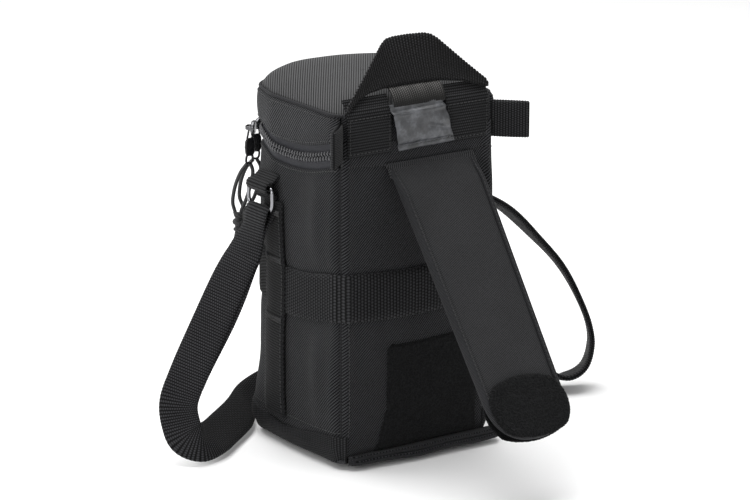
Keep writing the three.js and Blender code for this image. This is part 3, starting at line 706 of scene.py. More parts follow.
# How far the sewn lines rise and sag on the sides: distance past the corner seam, rise.
SAG = [(-75, -0.2), (-30, 1.2), (-8, 3.2), (4, 3.6), (14, 1.6), (30, -1.6), (48, -3.3), (62, -3.6),
       (78, -2.8), (96, 0.6), (112, 1.2), (135, 0.2), (200, 0)]
SAG_X = np.array([a for a, _ in SAG]) * MM
SAG_Y = np.array([b for _, b in SAG]) * MM


def rise(s, z):
    """The height that a line drawn level at z gains or loses at s."""
    d = from_corner(s)
    spread = sum(np.interp(d + k * MM, SAG_X, SAG_Y) for k in (-7, -3.5, 0, 3.5, 7)) / 5
    low = smooth(z, 2 * MM, 70 * MM) * (1 + 0.3 * smooth(z, 140 * MM, 210 * MM))
    return spread * low * (1 - smooth(z, 222 * MM, LID_EDGE))


def draw_in(s, z):
    """How far the front corners fall back from the base upwards."""
    d = from_corner(s)
    corner = smooth(d, 72 * MM, 104 * MM) * (1 - 0.5 * smooth(d, 122 * MM, 158 * MM))
    return 6.2 * MM * corner * smooth(z, 8 * MM, 60 * MM)


def puff(s, z):
    """How far the padded skin stands out of the plan line."""
    d = np.abs(from_corner(s))
    side = smooth(from_corner(s), -2 * MM, 6 * MM)
    pinch = -1.7 * np.exp(-((d / (1.6 * MM)) ** 2)) + 1.1 * (1 - np.exp(-((d / (15 * MM)) ** 2)))
    low = np.clip((z - TRIM_TOP) / (BAND_LOW - TRIM_TOP), 0, 1)
    high = np.clip((z - BAND_HIGH) / (WALL_TOP - BAND_HIGH), 0, 1)
    swell = np.sin(np.pi * low) ** 0.8 + np.sin(np.pi * high) ** 0.8
    tuck = -3.4 * (1 - smooth(z, 0, 13 * MM))
    far = np.mod(s, PLAN_LENGTH) - FAR_S
    reach = (15 - 11 * (far > 0) * smooth(z, WALL_TOP - 45 * MM, WALL_TOP - 12 * MM)) * MM
    full = 3.4 * np.exp(-((far / reach) ** 2)) * smooth(z, 50 * MM, 140 * MM)
    past = from_corner(s) / MM
    panel = smooth(z, TRIM_TOP, TRIM_TOP + 12 * MM)
    ridge = 1.9 * np.exp(-(((past + 4.0) / 2.3) ** 2)) * panel
    crest = 1.7 * np.exp(-(((past - 22) / 7.5) ** 2)) * np.clip(swell, 0, 1)
    plain = pinch * (0.5 + 0.5 * side) + (0.9 + 0.9 * side) * swell + tuck + full + ridge + crest
    return plain * MM - draw_in(s, z)


def skin(s, z, out=0.0, crumple=1.0):
    """Points on the padded body, `out` metres proud of it."""
    s, z = np.broadcast_arrays(np.asarray(s, float), np.asarray(z, float))
    xy, normal = plan_at(s)
    round_ = np.dstack([np.cos(2 * np.pi * s / PLAN_LENGTH) * 75 * MM,
                        np.sin(2 * np.pi * s / PLAN_LENGTH) * 75 * MM, z])
    waves = crumple * (wrinkle(round_, 46 * MM, 1.3 * MM) + wrinkle(round_, 19 * MM, 0.5 * MM, 7.0))
    off = puff(s, z) + waves + out
    return np.concatenate([xy + normal * off[..., None], (z + rise(s, z))[..., None]], -1)


def wall_grid(s0, s1, z0, z1, out=0.0, ds=2.2 * MM, dz=2.6 * MM, crumple=1.0):
    """A grid over the body from s0 to s1 and z0 to z1, with its metre coordinates."""
    cols = max(4, int(round((s1 - s0) / ds)) + 1)
    rows = max(3, int(round((z1 - z0) / dz)) + 1)
    s, z = grid(np.linspace(s0, s1, cols), np.linspace(z0, z1, rows))
    return skin(s, z, out, crumple), np.dstack([s, z]), s, z


def ribs_out(p, along, height, pitch=RIB):
    """Pushes a grid out along its normals in ribs."""
    n = grid_normals(p)
    return p + n * (height * np.cos(2 * np.pi * along / pitch))[..., None]


def add_body():
    p, uv, _, _ = wall_grid(CORNER_S, FAR_S, 1.5 * MM, WALL_TOP)
    shell = slab("side_cloth", p, uv, 5.0 * MM)
    finish_piece(shell, "pouch", NYLON, "nylon_twill", "side_wall")
    p, uv, _, _ = wall_grid(-CORNER_S, CORNER_S, 1.5 * MM, BACK_HIGH.z - 1 * MM, ds=1.5 * MM)
    back = slab("back_cloth", p, uv, 5.0 * MM)
    finish_piece(back, "pouch", NYLON, "nylon_twill", "back_panel")


def level_disc(name, s0, s1, height, edge_out, rings, thick, flip=False):
    """A closed cushion-shaped plate inside the plan line; height gives z for (s, share out)."""
    s = np.linspace(s0, s1, 170)
    xy, normal = plan_at(s)
    edge = xy + normal * (edge_out - draw_in(s, height(s, 1.0, xy)))[:, None]
    shares = 1 - (np.linspace(0, 1, rings) ** 1.3)
    shares[-1] = 0.003
    p = np.zeros((len(s), rings, 3))
    middle = np.array([0.0, 2 * MM])
    for j, share in enumerate(shares):
        p[:, j, :2] = middle + (edge - middle) * share
        p[:, j, 2] = height(s, share, p[:, j, :2])
    return slab(name, p, p[..., :2], thick, flip)


def add_base():
    def under(s, share, xy):
        return 0.3 * MM + 1.2 * MM * smooth(share, 0.93, 1.0) + 0 * s

    base = level_disc("base_cloth", 0, PLAN_LENGTH, under, -0.8 * MM, 9, 2.4 * MM, flip=True)
    finish_piece(base, "pouch", NYLON, "nylon_twill", "base_panel")


def add_lining():
    p, uv, _, _ = wall_grid(0, PLAN_LENGTH, 5.6 * MM, WALL_TOP - 1.2 * MM, -6.6 * MM, 4 * MM, 5 * MM)
    lining = slab("lining_cloth", p, uv, 1.0 * MM)
    finish_piece(lining, "pouch", LINING, "lining", "inner_lining")


def band_strip(name, s0, s1, z0, z1, out, thick, pitch=RIB, rib_height=0.18 * MM, upright=False):
    """Webbing laid round the body; its ribs run up it, or across it when it stands upright."""
    if upright:
        p, uv, s, z = wall_grid(s0, s1, z0, z1, out, 3.1 * MM, pitch / RIB_SAMPLES, 0.6)
        along = z
        uv = uv[..., ::-1]
    else:
        p, uv, s, z = wall_grid(s0, s1, z0, z1, out, pitch / RIB_SAMPLES, 4 * MM, 0.6)
        along = s
    edge = np.minimum(np.abs(s - s0), np.abs(s1 - s)) if upright else np.minimum(z - z0, z1 - z)
    p = ribs_out(p, along, rib_height, pitch)
    n = grid_normals(p)
    p = p - n * (0.45 * MM * np.exp(-edge / (0.5 * MM)))[..., None]
    return slab(name, p, uv, thick)


def add_bands():
    band = band_strip("band_webbing", 0.0, PLAN_LENGTH, BAND_LOW, BAND_HIGH, 2.0 * MM, 1.4 * MM,
                      2.6 * MM, 0.34 * MM)
    finish_piece(band, "pouch", BAND_WEBBING, "webbing", "waist_band")
    p, uv, s, z = wall_grid(CORNER_S - 4 * MM, FAR_S + 4 * MM, 1.9 * MM, TRIM_TOP, 1.7 * MM,
                            RIB / RIB_SAMPLES, 3 * MM)
    drop = -5.5 * MM * np.exp(-(((from_corner(s) - 58 * MM) / (34 * MM)) ** 2))
    p[..., 2] += drop * (z / TRIM_TOP)
    trim = slab("trim_webbing", ribs_out(p, s, 0.24 * MM), uv, 1.4 * MM)
    finish_piece(trim, "pouch", WEBBING, "webbing", "base_trim")
    for side, middle in (("left", CORNER_S + STRIP_S), ("right", FAR_S - STRIP_S)):
        low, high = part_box("side_strip_" + side)
        strip = band_strip("strip_webbing_" + side, middle - 12.5 * MM, middle + 12.5 * MM, low.z, high.z,
                           3.7 * MM, 1.4 * MM, upright=True)
        finish_piece(strip, "pouch", STRIP_WEBBING, "webbing", "side_strip_" + side)


# ---- Sewing ----
def stitch_row(s0, s1, level, out):
    """A stitch line round the body at a level, `out` proud of the skin."""
    s = np.linspace(s0, s1, max(30, int((s1 - s0) / (1.5 * MM))))
    p = skin(s[:, None], np.full((len(s), 1), level), out)[:, 0]
    return stitches("row", p, outward_at(s))


def stitch_column(s, z0, z1, out, crumple=1.0):
    z = np.linspace(z0, z1, 40)[:, None]
    p = skin(np.full(z.shape, s), z, out, crumple)[:, 0]
    return stitches("column", p, outward_at([s])[0])


def bar_tack(s, z, half, out):
    """A short dense bar of zigzag thread across a strip."""
    wide = np.linspace(-half, half, int(half * 2 / (0.55 * MM)))
    p = skin((s + wide)[:, None], np.full((len(wide), 1), z), out, 0.6)[:, 0]
    p[:, 2] += np.where(np.arange(len(wide)) % 2, 1.0, -1.0) * 0.9 * MM
    return tube("tack", p, 0.3 * MM, 6, up=outward_at([s])[0] + 0.13 * UP)


# ---- Zip ----
ZIP_START = CORNER_S + 2 * MM
ZIP_END = FAR_S - 2 * MM


def zip_teeth(name, level, toward):
    """One row of coil teeth: each a small loop of wire that reaches towards the other row."""
    pitch = 3.2 * MM
    middles = np.arange(ZIP_START, ZIP_END, pitch)
    turn = np.linspace(0, 2 * np.pi, 9)[:-1]
    vertices, faces = [], []
    for s in middles + (0.5 * pitch if toward > 0 else 0):
        base = skin(np.array([[s]]), np.array([[level]]), -0.4 * MM, 0.4)[0, 0]
        out = outward_at([s])[0]
        side = np.cross(out, UP)
        path = []
        for share in np.linspace(-1, 1, 5):
            bow = 1.0 * MM * math.cos(share * math.pi / 2) + 0.1 * MM
            path.append(base + out * bow + UP * (toward * 0.35 * MM + share * 1.35 * MM))
        start = len(vertices)
        path = np.array(path)
        lift = unit(np.cross(side, directions(path)))
        for here, up_ in zip(path, lift):
            for angle in turn:
                vertices.append(here + (side * math.cos(angle) + up_ * math.sin(angle)) * 0.8 * MM)
        for row in range(len(path) - 1):
            for k in range(8):
                a, b = start + row * 8 + k, start + row * 8 + (k + 1) % 8
                faces.append((a, b, b + 8, a + 8))
        faces.append(tuple(start + k for k in range(7, -1, -1)))
        last = start + (len(path) - 1) * 8
        faces.append(tuple(last + k for k in range(8)))
    return new_object(name, vertices, faces, np.zeros((sum(map(len, faces)), 2)))


def add_zip():
    for name, body, z0, z1, level, toward in (
        ("lower", "pouch", WALL_TOP - 2.2 * MM, ZIP_MIDDLE - 0.9 * MM, ZIP_MIDDLE - 1.25 * MM, -1),
        ("upper", "lid", ZIP_MIDDLE + 0.9 * MM, LID_BOTTOM + 2.2 * MM, ZIP_MIDDLE + 1.25 * MM, 1),
    ):
        p, uv, _, _ = wall_grid(ZIP_START, ZIP_END, z0, z1, -1.2 * MM, 1.6 * MM, 1.1 * MM, 0.5)
        tape = slab(name + "_tape", p, uv, 0.8 * MM)
        finish_piece(tape, body, TAPE, "zip_tape", name + "_zip_tape")
        teeth = zip_teeth(name + "_teeth", level, toward)
        finish_piece(teeth, body, COIL, "zip_coil", name + "_zip_coil")


# ---- Lid ----
LID_FLARE = 1.6 * MM
LID_DOME_RISE = 11 * MM


def lid_profile(z):
    """How far the lid's wall stands out at a height: rolled in at both of its edges."""
    t = np.clip((z - LID_BOTTOM) / (LID_EDGE - LID_BOTTOM), 0, 1)
    roll = 1.1 * np.exp(-((z - LID_BOTTOM) / (0.9 * MM))) + 1.3 * np.exp(-((LID_EDGE - z) / (1.3 * MM)))
    return LID_FLARE + (1.1 * np.sin(np.pi * t) ** 0.7 - roll) * MM


def dome(s, share, xy):
    inward = (1 - share) * HALF
    crease = wrinkle(np.dstack([xy[:, 0], xy[:, 1], 0 * xy[:, 0]])[0], 38 * MM, 0.9 * MM, 3.0)
    fade = 1 - smooth(share, 0.8, 0.99)
    front = 1 - smooth(xy[:, 1], -45 * MM, 20 * MM)
    rise_up = 1.0 * MM + (LID_DOME_RISE + 1.5 * MM * front) * (1 - np.exp(-inward / ((12 - 6 * front) * MM)))
    return LID_EDGE + rise_up + crease * fade + 0 * s


def add_lid():
    p, uv, s, z = wall_grid(CORNER_S, FAR_S, LID_BOTTOM, LID_EDGE, 0.0, 2.2 * MM, 1.0 * MM, 0.7)
    _, normal = plan_at(s)
    p[..., :2] += normal * lid_profile(z)[..., None]
    wall = slab("lid_side_cloth", p, uv, 4.4 * MM)
    finish_piece(wall, "lid", LID_NYLON_PAINTED_LIGHT, "nylon_twill", "lid_wall")
    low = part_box("lid_rear_wall")[0].z
    p, uv, _, _ = wall_grid(-CORNER_S, CORNER_S, low, LID_EDGE, 0.2 * MM, 2.2 * MM, 1.6 * MM, 0.35)
    rear = slab("lid_rear_cloth", p, uv, 4.6 * MM)
    finish_piece(rear, "lid", NYLON, "nylon_twill", "lid_rear_wall")
    top = level_disc("lid_top_cloth", 0, PLAN_LENGTH, dome, 1.0 * MM, 22, 2.0 * MM)
    finish_piece(top, "lid", LID_CLOTH_PAINTED_LIGHT, "nylon_twill", "lid_top")

    def ceiling(s, share, xy):
        return LID_EDGE - 0.6 * MM + 0 * s

    under = level_disc("lid_lining_cloth", 0, PLAN_LENGTH, ceiling, -6.5 * MM, 8, 1.4 * MM)
    finish_piece(under, "lid", LINING, "lining", "lid_lining")
    s = np.linspace(CORNER_S - 3 * MM, FAR_S + 3 * MM, 260)
    xy, normal = plan_at(s)
    stand = 1.9 * MM - draw_in(s, LID_EDGE)
    line = np.hstack([xy + normal * stand[:, None], np.full((len(s), 1), LID_EDGE + 0.5 * MM)])
    piping = tube("lid_edge_piping", line, 1.0 * MM, 10, up=UP)
    finish_piece(piping, "lid", BINDING, "nylon_twill", "lid_piping")
    p, uv, _, _ = wall_grid(-CORNER_S + 0.5 * MM, CORNER_S - 0.5 * MM, BACK_HIGH.z - 5 * MM,
                            low + 7 * MM, 0.9 * MM, 2.4 * MM, 0.9 * MM, 0.5)
    hinge = slab("lid_hinge_cloth", p, uv, 0.8 * MM)
    hinge.data.materials.append(NYLON)
    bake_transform(hinge)


def rear_seam_piping():
    """A thin corded seam down both rear corners of the body."""
    for side, s in (("left", CORNER_S), ("right", FAR_S)):
        z = np.linspace(2 * MM, WALL_TOP, 70)[:, None]
        line = skin(np.full(z.shape, s), z, 0.1 * MM)[:, 0]
        cord = tube("corner_seam_" + side, line, 0.55 * MM, 8, up=np.array([1.0, 0.0, 0.1]))
        finish_piece(cord, "pouch", BINDING, "nylon_twill")


def add_zip_tabs():
    for side, sign in SIDES:
        low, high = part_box("zip_end_tab_" + side)
        diagonal = unit(np.array([sign * 1.0, 1.0, 0.0]))
        spread = np.array([-diagonal[1] * sign, diagonal[0] * sign, 0.0])
        out = 0.0 if sign > 0 else 2.2 * MM
        root = np.array([sign * (HALF - 1.2 * MM + out), REAR - 2.2 * MM, (low.z + high.z) / 2])
        shape = [(0, 1.0), (7, 1.8), (14, 1.8), (21, 1.4), (25.5, 0.9), (26.8, 0), (25.5, -0.9), (21, -1.2),
                 (14, -1.5), (7, -1.4), (0, -1.0)]
        points = [root + diagonal * a * MM + spread * b * MM for a, b in shape]
        tab = webbing("zip_tab_webbing_" + side, spline(points, 200), UP, high.z - low.z, 1.3 * MM)
        finish_piece(tab, "lid", WEBBING, "webbing", "zip_end_tab_" + side)


# ---- Handle ----
HANDLE_JOINT = np.array(JOINTS["handle_hinge"]["pos_m"], float)
LEAN = math.radians(32)
LEAN_UP = np.array([0.0, -math.sin(LEAN), math.cos(LEAN)])
LEAN_OUT = np.array([0.0, math.cos(LEAN), math.sin(LEAN)])
ARCH_TOP = [(57.5, 0.2), (56.2, 4), (40, 19.5), (16.5, 42.5), (12, 45.6), (6, 46.6), (-6, 46.8), (-19, 46.2),
            (-24.5, 44.6), (-29, 41), (-44, 23.5), (-57.5, 8.5), (-58.5, 4.5)]
ARCH_LOW = [(57.0, -1.0), (53, 3.2), (46, 7.6), (36, 11), (24, 12.8), (2, 13.2), (-21, 12.6), (-40, 9.6),
            (-57.8, 3.0)]


def in_plane(joint, first, second, x, a, b):
    """Points x across from the middle of a joint's axis, a along `first` and b along `second`."""
    x, a, b = together(x, a, b)
    base = np.stack([x, joint[1] + 0 * x, joint[2] + 0 * x], -1)
    return base + a[..., None] * first + b[..., None] * second


def on_lean(x, up, out):
    """Points in the handle's own leaning plane."""
    return in_plane(HANDLE_JOINT, LEAN_UP, LEAN_OUT, x, up, out)


def add_handle():
    ribs = 64
    top = resample(np.array(ARCH_TOP) * MM, ribs * RIB_SAMPLES)
    low = resample(np.array(ARCH_LOW) * MM, ribs * RIB_SAMPLES)
    rows = 15
    share = np.linspace(0, 1, rows)[None, :]
    phase = np.arange(len(top)) * 2 * np.pi / RIB_SAMPLES
    swell = 0.26 * MM * np.cos(phase)
    a = np.linspace(0, 1, len(top))[:, None]
    reach = swell[:, None] * (share - 0.5) * 3
    x = low[:, :1] + (top[:, :1] - low[:, :1]) * share
    up_ = low[:, 1:] + (top[:, 1:] - low[:, 1:]) * share + reach
    arch_bow = np.sin(np.pi * a)
    bow = 2.4 * MM * arch_bow * (share - 0.2) - 1.0 * MM * np.sin(np.pi * share) * arch_bow
    p = on_lean(x, up_, -1.3 * MM + bow + swell[:, None])
    uv = np.dstack([np.broadcast_to(np.arange(len(top))[:, None] * 2.2 * MM / RIB_SAMPLES, x.shape), up_])
    arch = slab("arch_webbing", p, uv, 1.7 * MM)
    finish_piece(arch, "handle", HANDLE_WEBBING, "webbing", "carry_handle")
    for side in ("left", "right"):
        near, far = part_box("handle_leg_" + side)
        middle = (near.x + far.x) / 2
        y = REAR + 1.9 * MM
        points = [(middle, y, near.z), (middle, y + 0.2 * MM, near.z + 12 * MM), (middle, y, far.z - 5 * MM),
                  (middle, y - 0.5 * MM, far.z + 0.5 * MM)]
        points += [tuple(on_lean(middle, up_ * MM, -3.2 * MM)) for up_ in (2.5, 6, 9.5)]
        leg = webbing("leg_webbing_" + side, spline(points, 120), (1, 0, 0), far.x - near.x, 1.5 * MM,
                      cup=-0.3 * MM)
        leg.data.materials.append(WEBBING)
        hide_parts("handle_leg_" + side)
        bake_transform(leg)


def add_ribbon_and_panel():
    low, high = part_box("handle_ribbon")
    x, up_ = grid(np.linspace(high.x, low.x, 90), np.linspace(-1.5, 13.2, 14) * MM)
    t = (up_ + 1.5 * MM) / (14.7 * MM)
    out = -0.6 * MM + 1.9 * MM * np.sin(np.pi * t) ** 0.8 - 0.5 * MM * t
    p = on_lean(x, up_, out + 0.12 * MM * np.cos(x * 2 * np.pi / (1.5 * MM)))
    ribbon = slab("ribbon_band", p[::-1], np.dstack([x, up_])[::-1], 0.9 * MM)
    finish_piece(ribbon, "handle", RIBBON, "ribbon", "handle_ribbon")
    low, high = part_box("hanger_panel")
    a, t = grid(np.linspace(0, 1, 46), np.linspace(0, 1, 40))
    left = (16 + 8 * t) * MM
    right = (-30 + 12 * t**0.85) * MM
    x = right + (left - right) * a
    z = low.z + (high.z + 2.2 * MM - low.z) * t + (a - 0.5) * -1.2 * MM
    sample = np.dstack([x, z * 1.6, 0 * x])
    y = REAR + 2.9 * MM + 2.6 * MM * np.sin(np.pi * t**1.2) ** 1.1 + wrinkle(sample, 11 * MM, 1.5 * MM, 5.0)
    fold = np.exp(-(((t - 0.80) / 0.035) ** 2)) - 0.9 * np.exp(-(((t - 0.87) / 0.035) ** 2))
    diagonal = np.exp(-(((t - 0.3 - 0.35 * a) / 0.05) ** 2)) * np.exp(-(((a - 0.2) / 0.25) ** 2))
    y = y + (1.3 * fold - 0.9 * diagonal) * MM
    seam = -0.9 * MM * np.exp(-(((t - 0.11) / 0.022) ** 2))
    y = y + seam * (1 + 0.4 * np.cos(x * 2 * np.pi / (3 * MM)))
    panel = slab("vinyl_panel", np.dstack([x, y, z]), np.dstack([x, z]), 0.8 * MM)
    finish_piece(panel, "lid", VINYL, "coated_panel", "hanger_panel")


# ---- Belt flap ----
FLAP_JOINT = np.array(JOINTS["flap_hinge"]["pos_m"], float)
SWING = math.radians(36.5)
FLAP_DOWN = np.array([0.0, math.sin(SWING), -math.cos(SWING)])
FLAP_OUT = np.array([0.0, math.cos(SWING), math.sin(SWING)])
FLAP_X = -8.6 * MM
FLAP_TOP_HALF = 35 * MM
FLAP_END_HALF = 31 * MM
FLAP_LENGTH = 204 * MM
FLAP_END_RISE = 31 * MM
FLAP_THICK = 5.6 * MM


def on_flap(x, down, out):
    """Points in the flap's own plane, hung from its hinge."""
    return in_plane(FLAP_JOINT, FLAP_DOWN, FLAP_OUT, x, down, out)


def flap_half(down, inset=0.0):
    """Half the flap's width at a distance from the hinge."""
    straight = FLAP_LENGTH - FLAP_END_RISE
    half = FLAP_TOP_HALF + (FLAP_END_HALF - FLAP_TOP_HALF) * np.clip(down / FLAP_LENGTH, 0, 1) - inset
    t = np.clip((down - straight) / (FLAP_END_RISE - inset), 0, 1)
    return half * (1 - t**2.35) ** (1 / 2.35)


def flap_root(down):
    """How much of its full thickness the flap has; it thins towards its sewn top edge."""
    return 0.35 + 0.65 * smooth(down, 4 * MM, 24 * MM)


def add_flap_pad():
    inset = 1.6 * MM
    straight = FLAP_LENGTH - FLAP_END_RISE
    bend = straight + (FLAP_END_RISE - inset) * np.sin(np.linspace(0, math.pi / 2, 40))[1:]
    down = np.concatenate([np.arange(3 * MM, straight, 2.4 * MM), bend])
    half = np.maximum(flap_half(down, inset), 0.4 * MM)
    turn = np.linspace(0, 2 * np.pi, 44, endpoint=False)
    c, n = np.cos(turn), np.sin(turn)
    wide, thick = bulged(c, 0.42), bulged(n, 0.75)
    x = FLAP_X + half[:, None] * wide[None, :]
    rough = wrinkle(np.dstack([x, np.broadcast_to(down[:, None], x.shape), 0 * x]), 42 * MM, 1.1 * MM, 2.0)
    out = FLAP_THICK / 2 * (1 + thick[None, :]) + rough * np.abs(n)[None, :] * 0.8
    end = np.minimum(half / (12 * MM), 1.0)[:, None]
    root = flap_root(down)[:, None]
    out = FLAP_THICK / 2 * root + (out - FLAP_THICK / 2) * (0.35 + 0.65 * end) * root
    pad = sweep("flap_pad", on_flap(x, down[:, None], out)[::-1])
    finish_piece(pad, "flap", FLAP_CLOTH, "flap_fabric", "belt_flap")


def flap_edge():
    """The line round the flap's open edge as (x, down), and its outward directions."""
    straight = FLAP_LENGTH - FLAP_END_RISE
    side = np.arange(3 * MM, straight, 1.5 * MM)
    tip = straight + FLAP_END_RISE * np.sin(np.linspace(0, math.pi / 2, 44))
    line_down = np.concatenate([side, tip])
    line_x = np.concatenate([flap_half(side), np.maximum(flap_half(tip), 0.0)])
    right = np.stack([FLAP_X + line_x, line_down], 1)
    left = np.stack([FLAP_X - line_x, line_down], 1)[::-1][1:]
    line = resample(np.vstack([right, left]), 400)
    along = directions(line)
    outward = np.stack([along[:, 1], -along[:, 0]], 1)
    middle = np.array([FLAP_X, 90 * MM])
    if np.sum(outward[20] * (line[20] - middle)) < 0:
        outward = -outward
    return line, outward


def add_flap_binding():
    """A folded tape round the flap's edge, with a stitch line on each face."""
    line, outward = flap_edge()
    angles = np.linspace(-math.pi / 2, math.pi / 2, 9)
    profile = [(-4.2, -3.2)] + [(-1.9 + 1.9 * math.cos(t), 3.15 * math.sin(t)) for t in angles]
    profile += [(-4.2, 3.2), (-4.2, 2.5)]
    profile += [(-2.4 + 1.4 * math.cos(t), 2.4 * math.sin(t)) for t in angles[::-1]] + [(-4.2, -2.5)]
    profile = np.array(profile) * MM
    place_xy = line[:, None] + outward[:, None] * profile[None, :, :1]
    lift = (FLAP_THICK / 2 + profile[None, :, 1]) * flap_root(place_xy[..., 1])
    ring = on_flap(place_xy[..., 0], place_xy[..., 1], lift)
    binding = sweep("flap_edge_binding", ring)
    finish_piece(binding, "flap", BINDING, "webbing", "flap_binding")
    for name, level in (("outer", FLAP_THICK / 2 + 3.25 * MM), ("inner", FLAP_THICK / 2 - 3.25 * MM)):
        inner_line = line - outward * 3.0 * MM
        sewn = on_flap(inner_line[:, 0], inner_line[:, 1], level * flap_root(inner_line[:, 1]))
        thread = stitches("flap_stitching_" + name, sewn, FLAP_OUT)
        finish_piece(thread, "flap", THREAD, "webbing")


def add_flap_piles():
    """The ovals of pile on both faces of the flap's end."""
    middle = FLAP_LENGTH - 21.5 * MM
    for side, level, sign in (("outer", FLAP_THICK + 0.6 * MM, 1), ("inner", -0.6 * MM, -1)):
        a, b = grid(np.linspace(-1, 1, 74), np.linspace(-1, 1, 56))
        round_a, round_b = a * np.sqrt(1 - 0.42 * b**2), b * np.sqrt(1 - 0.42 * a**2)
        fuzz = np.random.default_rng(4).uniform(-1, 1, a.shape)
        edge = smooth(np.minimum(1 - np.abs(a), 1 - np.abs(b)), 0.0, 0.07)
        x = FLAP_X + 30.4 * MM * round_a + 0.2 * MM * fuzz
        d = middle + 21 * MM * round_b + 0.2 * MM * fuzz[::-1]
        p = on_flap(x, d, level + sign * (0.3 + 1.2 * edge + 0.2 * fuzz) * MM)
        oval = slab("pile_oval_" + side, p if sign > 0 else p[::-1], np.dstack([x, d]), 1.2 * MM)
        finish_piece(oval, "flap", PILE, "pile", "flap_pile_" + side)


def add_flap_seam():
    """The cloth that joins the flap's top edge to the back panel."""
    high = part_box("flap_seam_web")[1]
    x = FLAP_X + FLAP_TOP_HALF * np.linspace(-1, 1, 40)
    path = [(REAR + 3.4 * MM, high.z + 1.2 * MM), (REAR + 4.4 * MM, high.z - 0.5 * MM)]
    path += [tuple(FLAP_JOINT[k] + d * FLAP_DOWN[k] + n * FLAP_OUT[k] for k in (1, 2))
             for d, n in ((3 * MM, 1.9 * MM), (9 * MM, 1.0 * MM))]
    line = spline(np.array([(0, a, b) for a, b in path]), 26)
    p = np.zeros((len(x), len(line), 3))
    p[..., 0] = x[:, None]
    p[..., 1] = line[None, :, 1]
    p[..., 2] = line[None, :, 2]
    web = slab("flap_seam_cloth", p[:, ::-1], p[:, ::-1][..., [0, 2]], 2.0 * MM)
    web.data.materials.append(FLAP_CLOTH)
    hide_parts("flap_seam_web")
    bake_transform(web)


# ---- Pile patch and base flange ----
def add_patch():
    low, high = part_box("loop_patch")
    z = np.arange(low.z, high.z + 0.1 * MM, 0.85 * MM)
    corner = 5 * MM
    cut = np.maximum(z - (high.z - corner), 0.0)
    round_off = corner - np.sqrt(np.maximum(corner**2 - cut**2, 0.0))
    foot = np.maximum(1 - (z - low.z) / (28 * MM), 0.0)
    left = high.x - 9 * MM + 8 * MM * foot + 1 * MM * (foot > 0) - round_off
    right = low.x + round_off
    share = np.linspace(0, 1, 96)[:, None]
    s = right + (left - right) * share
    zz = np.broadcast_to(z[None, :], s.shape)
    fuzz = np.random.default_rng(8).uniform(-1, 1, s.shape)
    inside = np.minimum(np.minimum(s - right, left - s), np.minimum(zz - z[0], z[-1] - zz))
    out = 0.4 * MM + 1.5 * MM * smooth(inside, -0.2 * MM, 1.2 * MM) + 0.22 * MM * fuzz
    p = skin(s + 0.25 * MM * fuzz[::-1], zz, out, 1.0)
    patch = slab("loop_pile_patch", p, np.dstack([s, zz]), 1.2 * MM)
    finish_piece(patch, "pouch", PILE, "pile", "loop_patch")


def add_flange():
    """Two thin layers sewn along the base's rear edge, wider than the body at the far side."""
    low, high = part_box("base_flange")
    share = np.linspace(0, 1, 110)[:, None]
    x = high.x - 1 * MM + (low.x - high.x + 2 * MM) * share
    ends = np.clip(np.minimum(share, 1 - share) / 0.05, 0, 1) ** 0.5
    reach = (high.y - REAR) * (0.45 + 0.55 * smooth(share, 0.0, 0.45)) * ends
    for name, lift, shrink in (("flange_cloth", 0.4, 1.0), ("flange_upper", 3.3, 0.72)):
        out = np.linspace(0, 1, 9)[None, :]
        y = REAR - 1.5 * MM + (reach * shrink + 1.5 * MM) * out
        sample = np.dstack([np.broadcast_to(x, y.shape), y, 0 * y])
        z = lift * MM + wrinkle(sample, 25 * MM, 0.9 * MM, 9.0 + lift) * out + 0.5 * MM * out
        p = np.dstack([np.broadcast_to(x, y.shape), y, z + 1.4 * MM])
        cloth = slab(name, p[::-1], p[::-1][..., :2], 1.4 * MM)
        finish_piece(cloth, "pouch", NYLON, "nylon_twill", *(["base_flange"] if lift < 1 else []))
        edge = resample(p[:, -1], 130) - np.array([0, 0, 0.7 * MM])
        bound = tube(name + "_edge", edge, 1.15 * MM, 10, up=UP)
        finish_piece(bound, "pouch", BINDING, "nylon_twill")


# ---- Rings, tabs and strap ----
RING_X = (RING_LOW.x + RING_HIGH.x) / 2
RING_Y = (RING_LOW.y + RING_HIGH.y) / 2
RING_JOINT = JOINTS["ring_left_hinge"]["pos_m"]
RING_Z = RING_JOINT[2]
RING_HALF = (RING_HIGH.y - RING_LOW.y) / 2 - 1.75 * MM
FOLD_Z = RING_Z - 17.4 * MM
STRAP_WIDE = 26.4 * MM
STRAP_THICK = 1.6 * MM
LAYER_STEP = 2.1 * MM
STRAP_STEPS = 84
LEFT_TAIL_END = 10
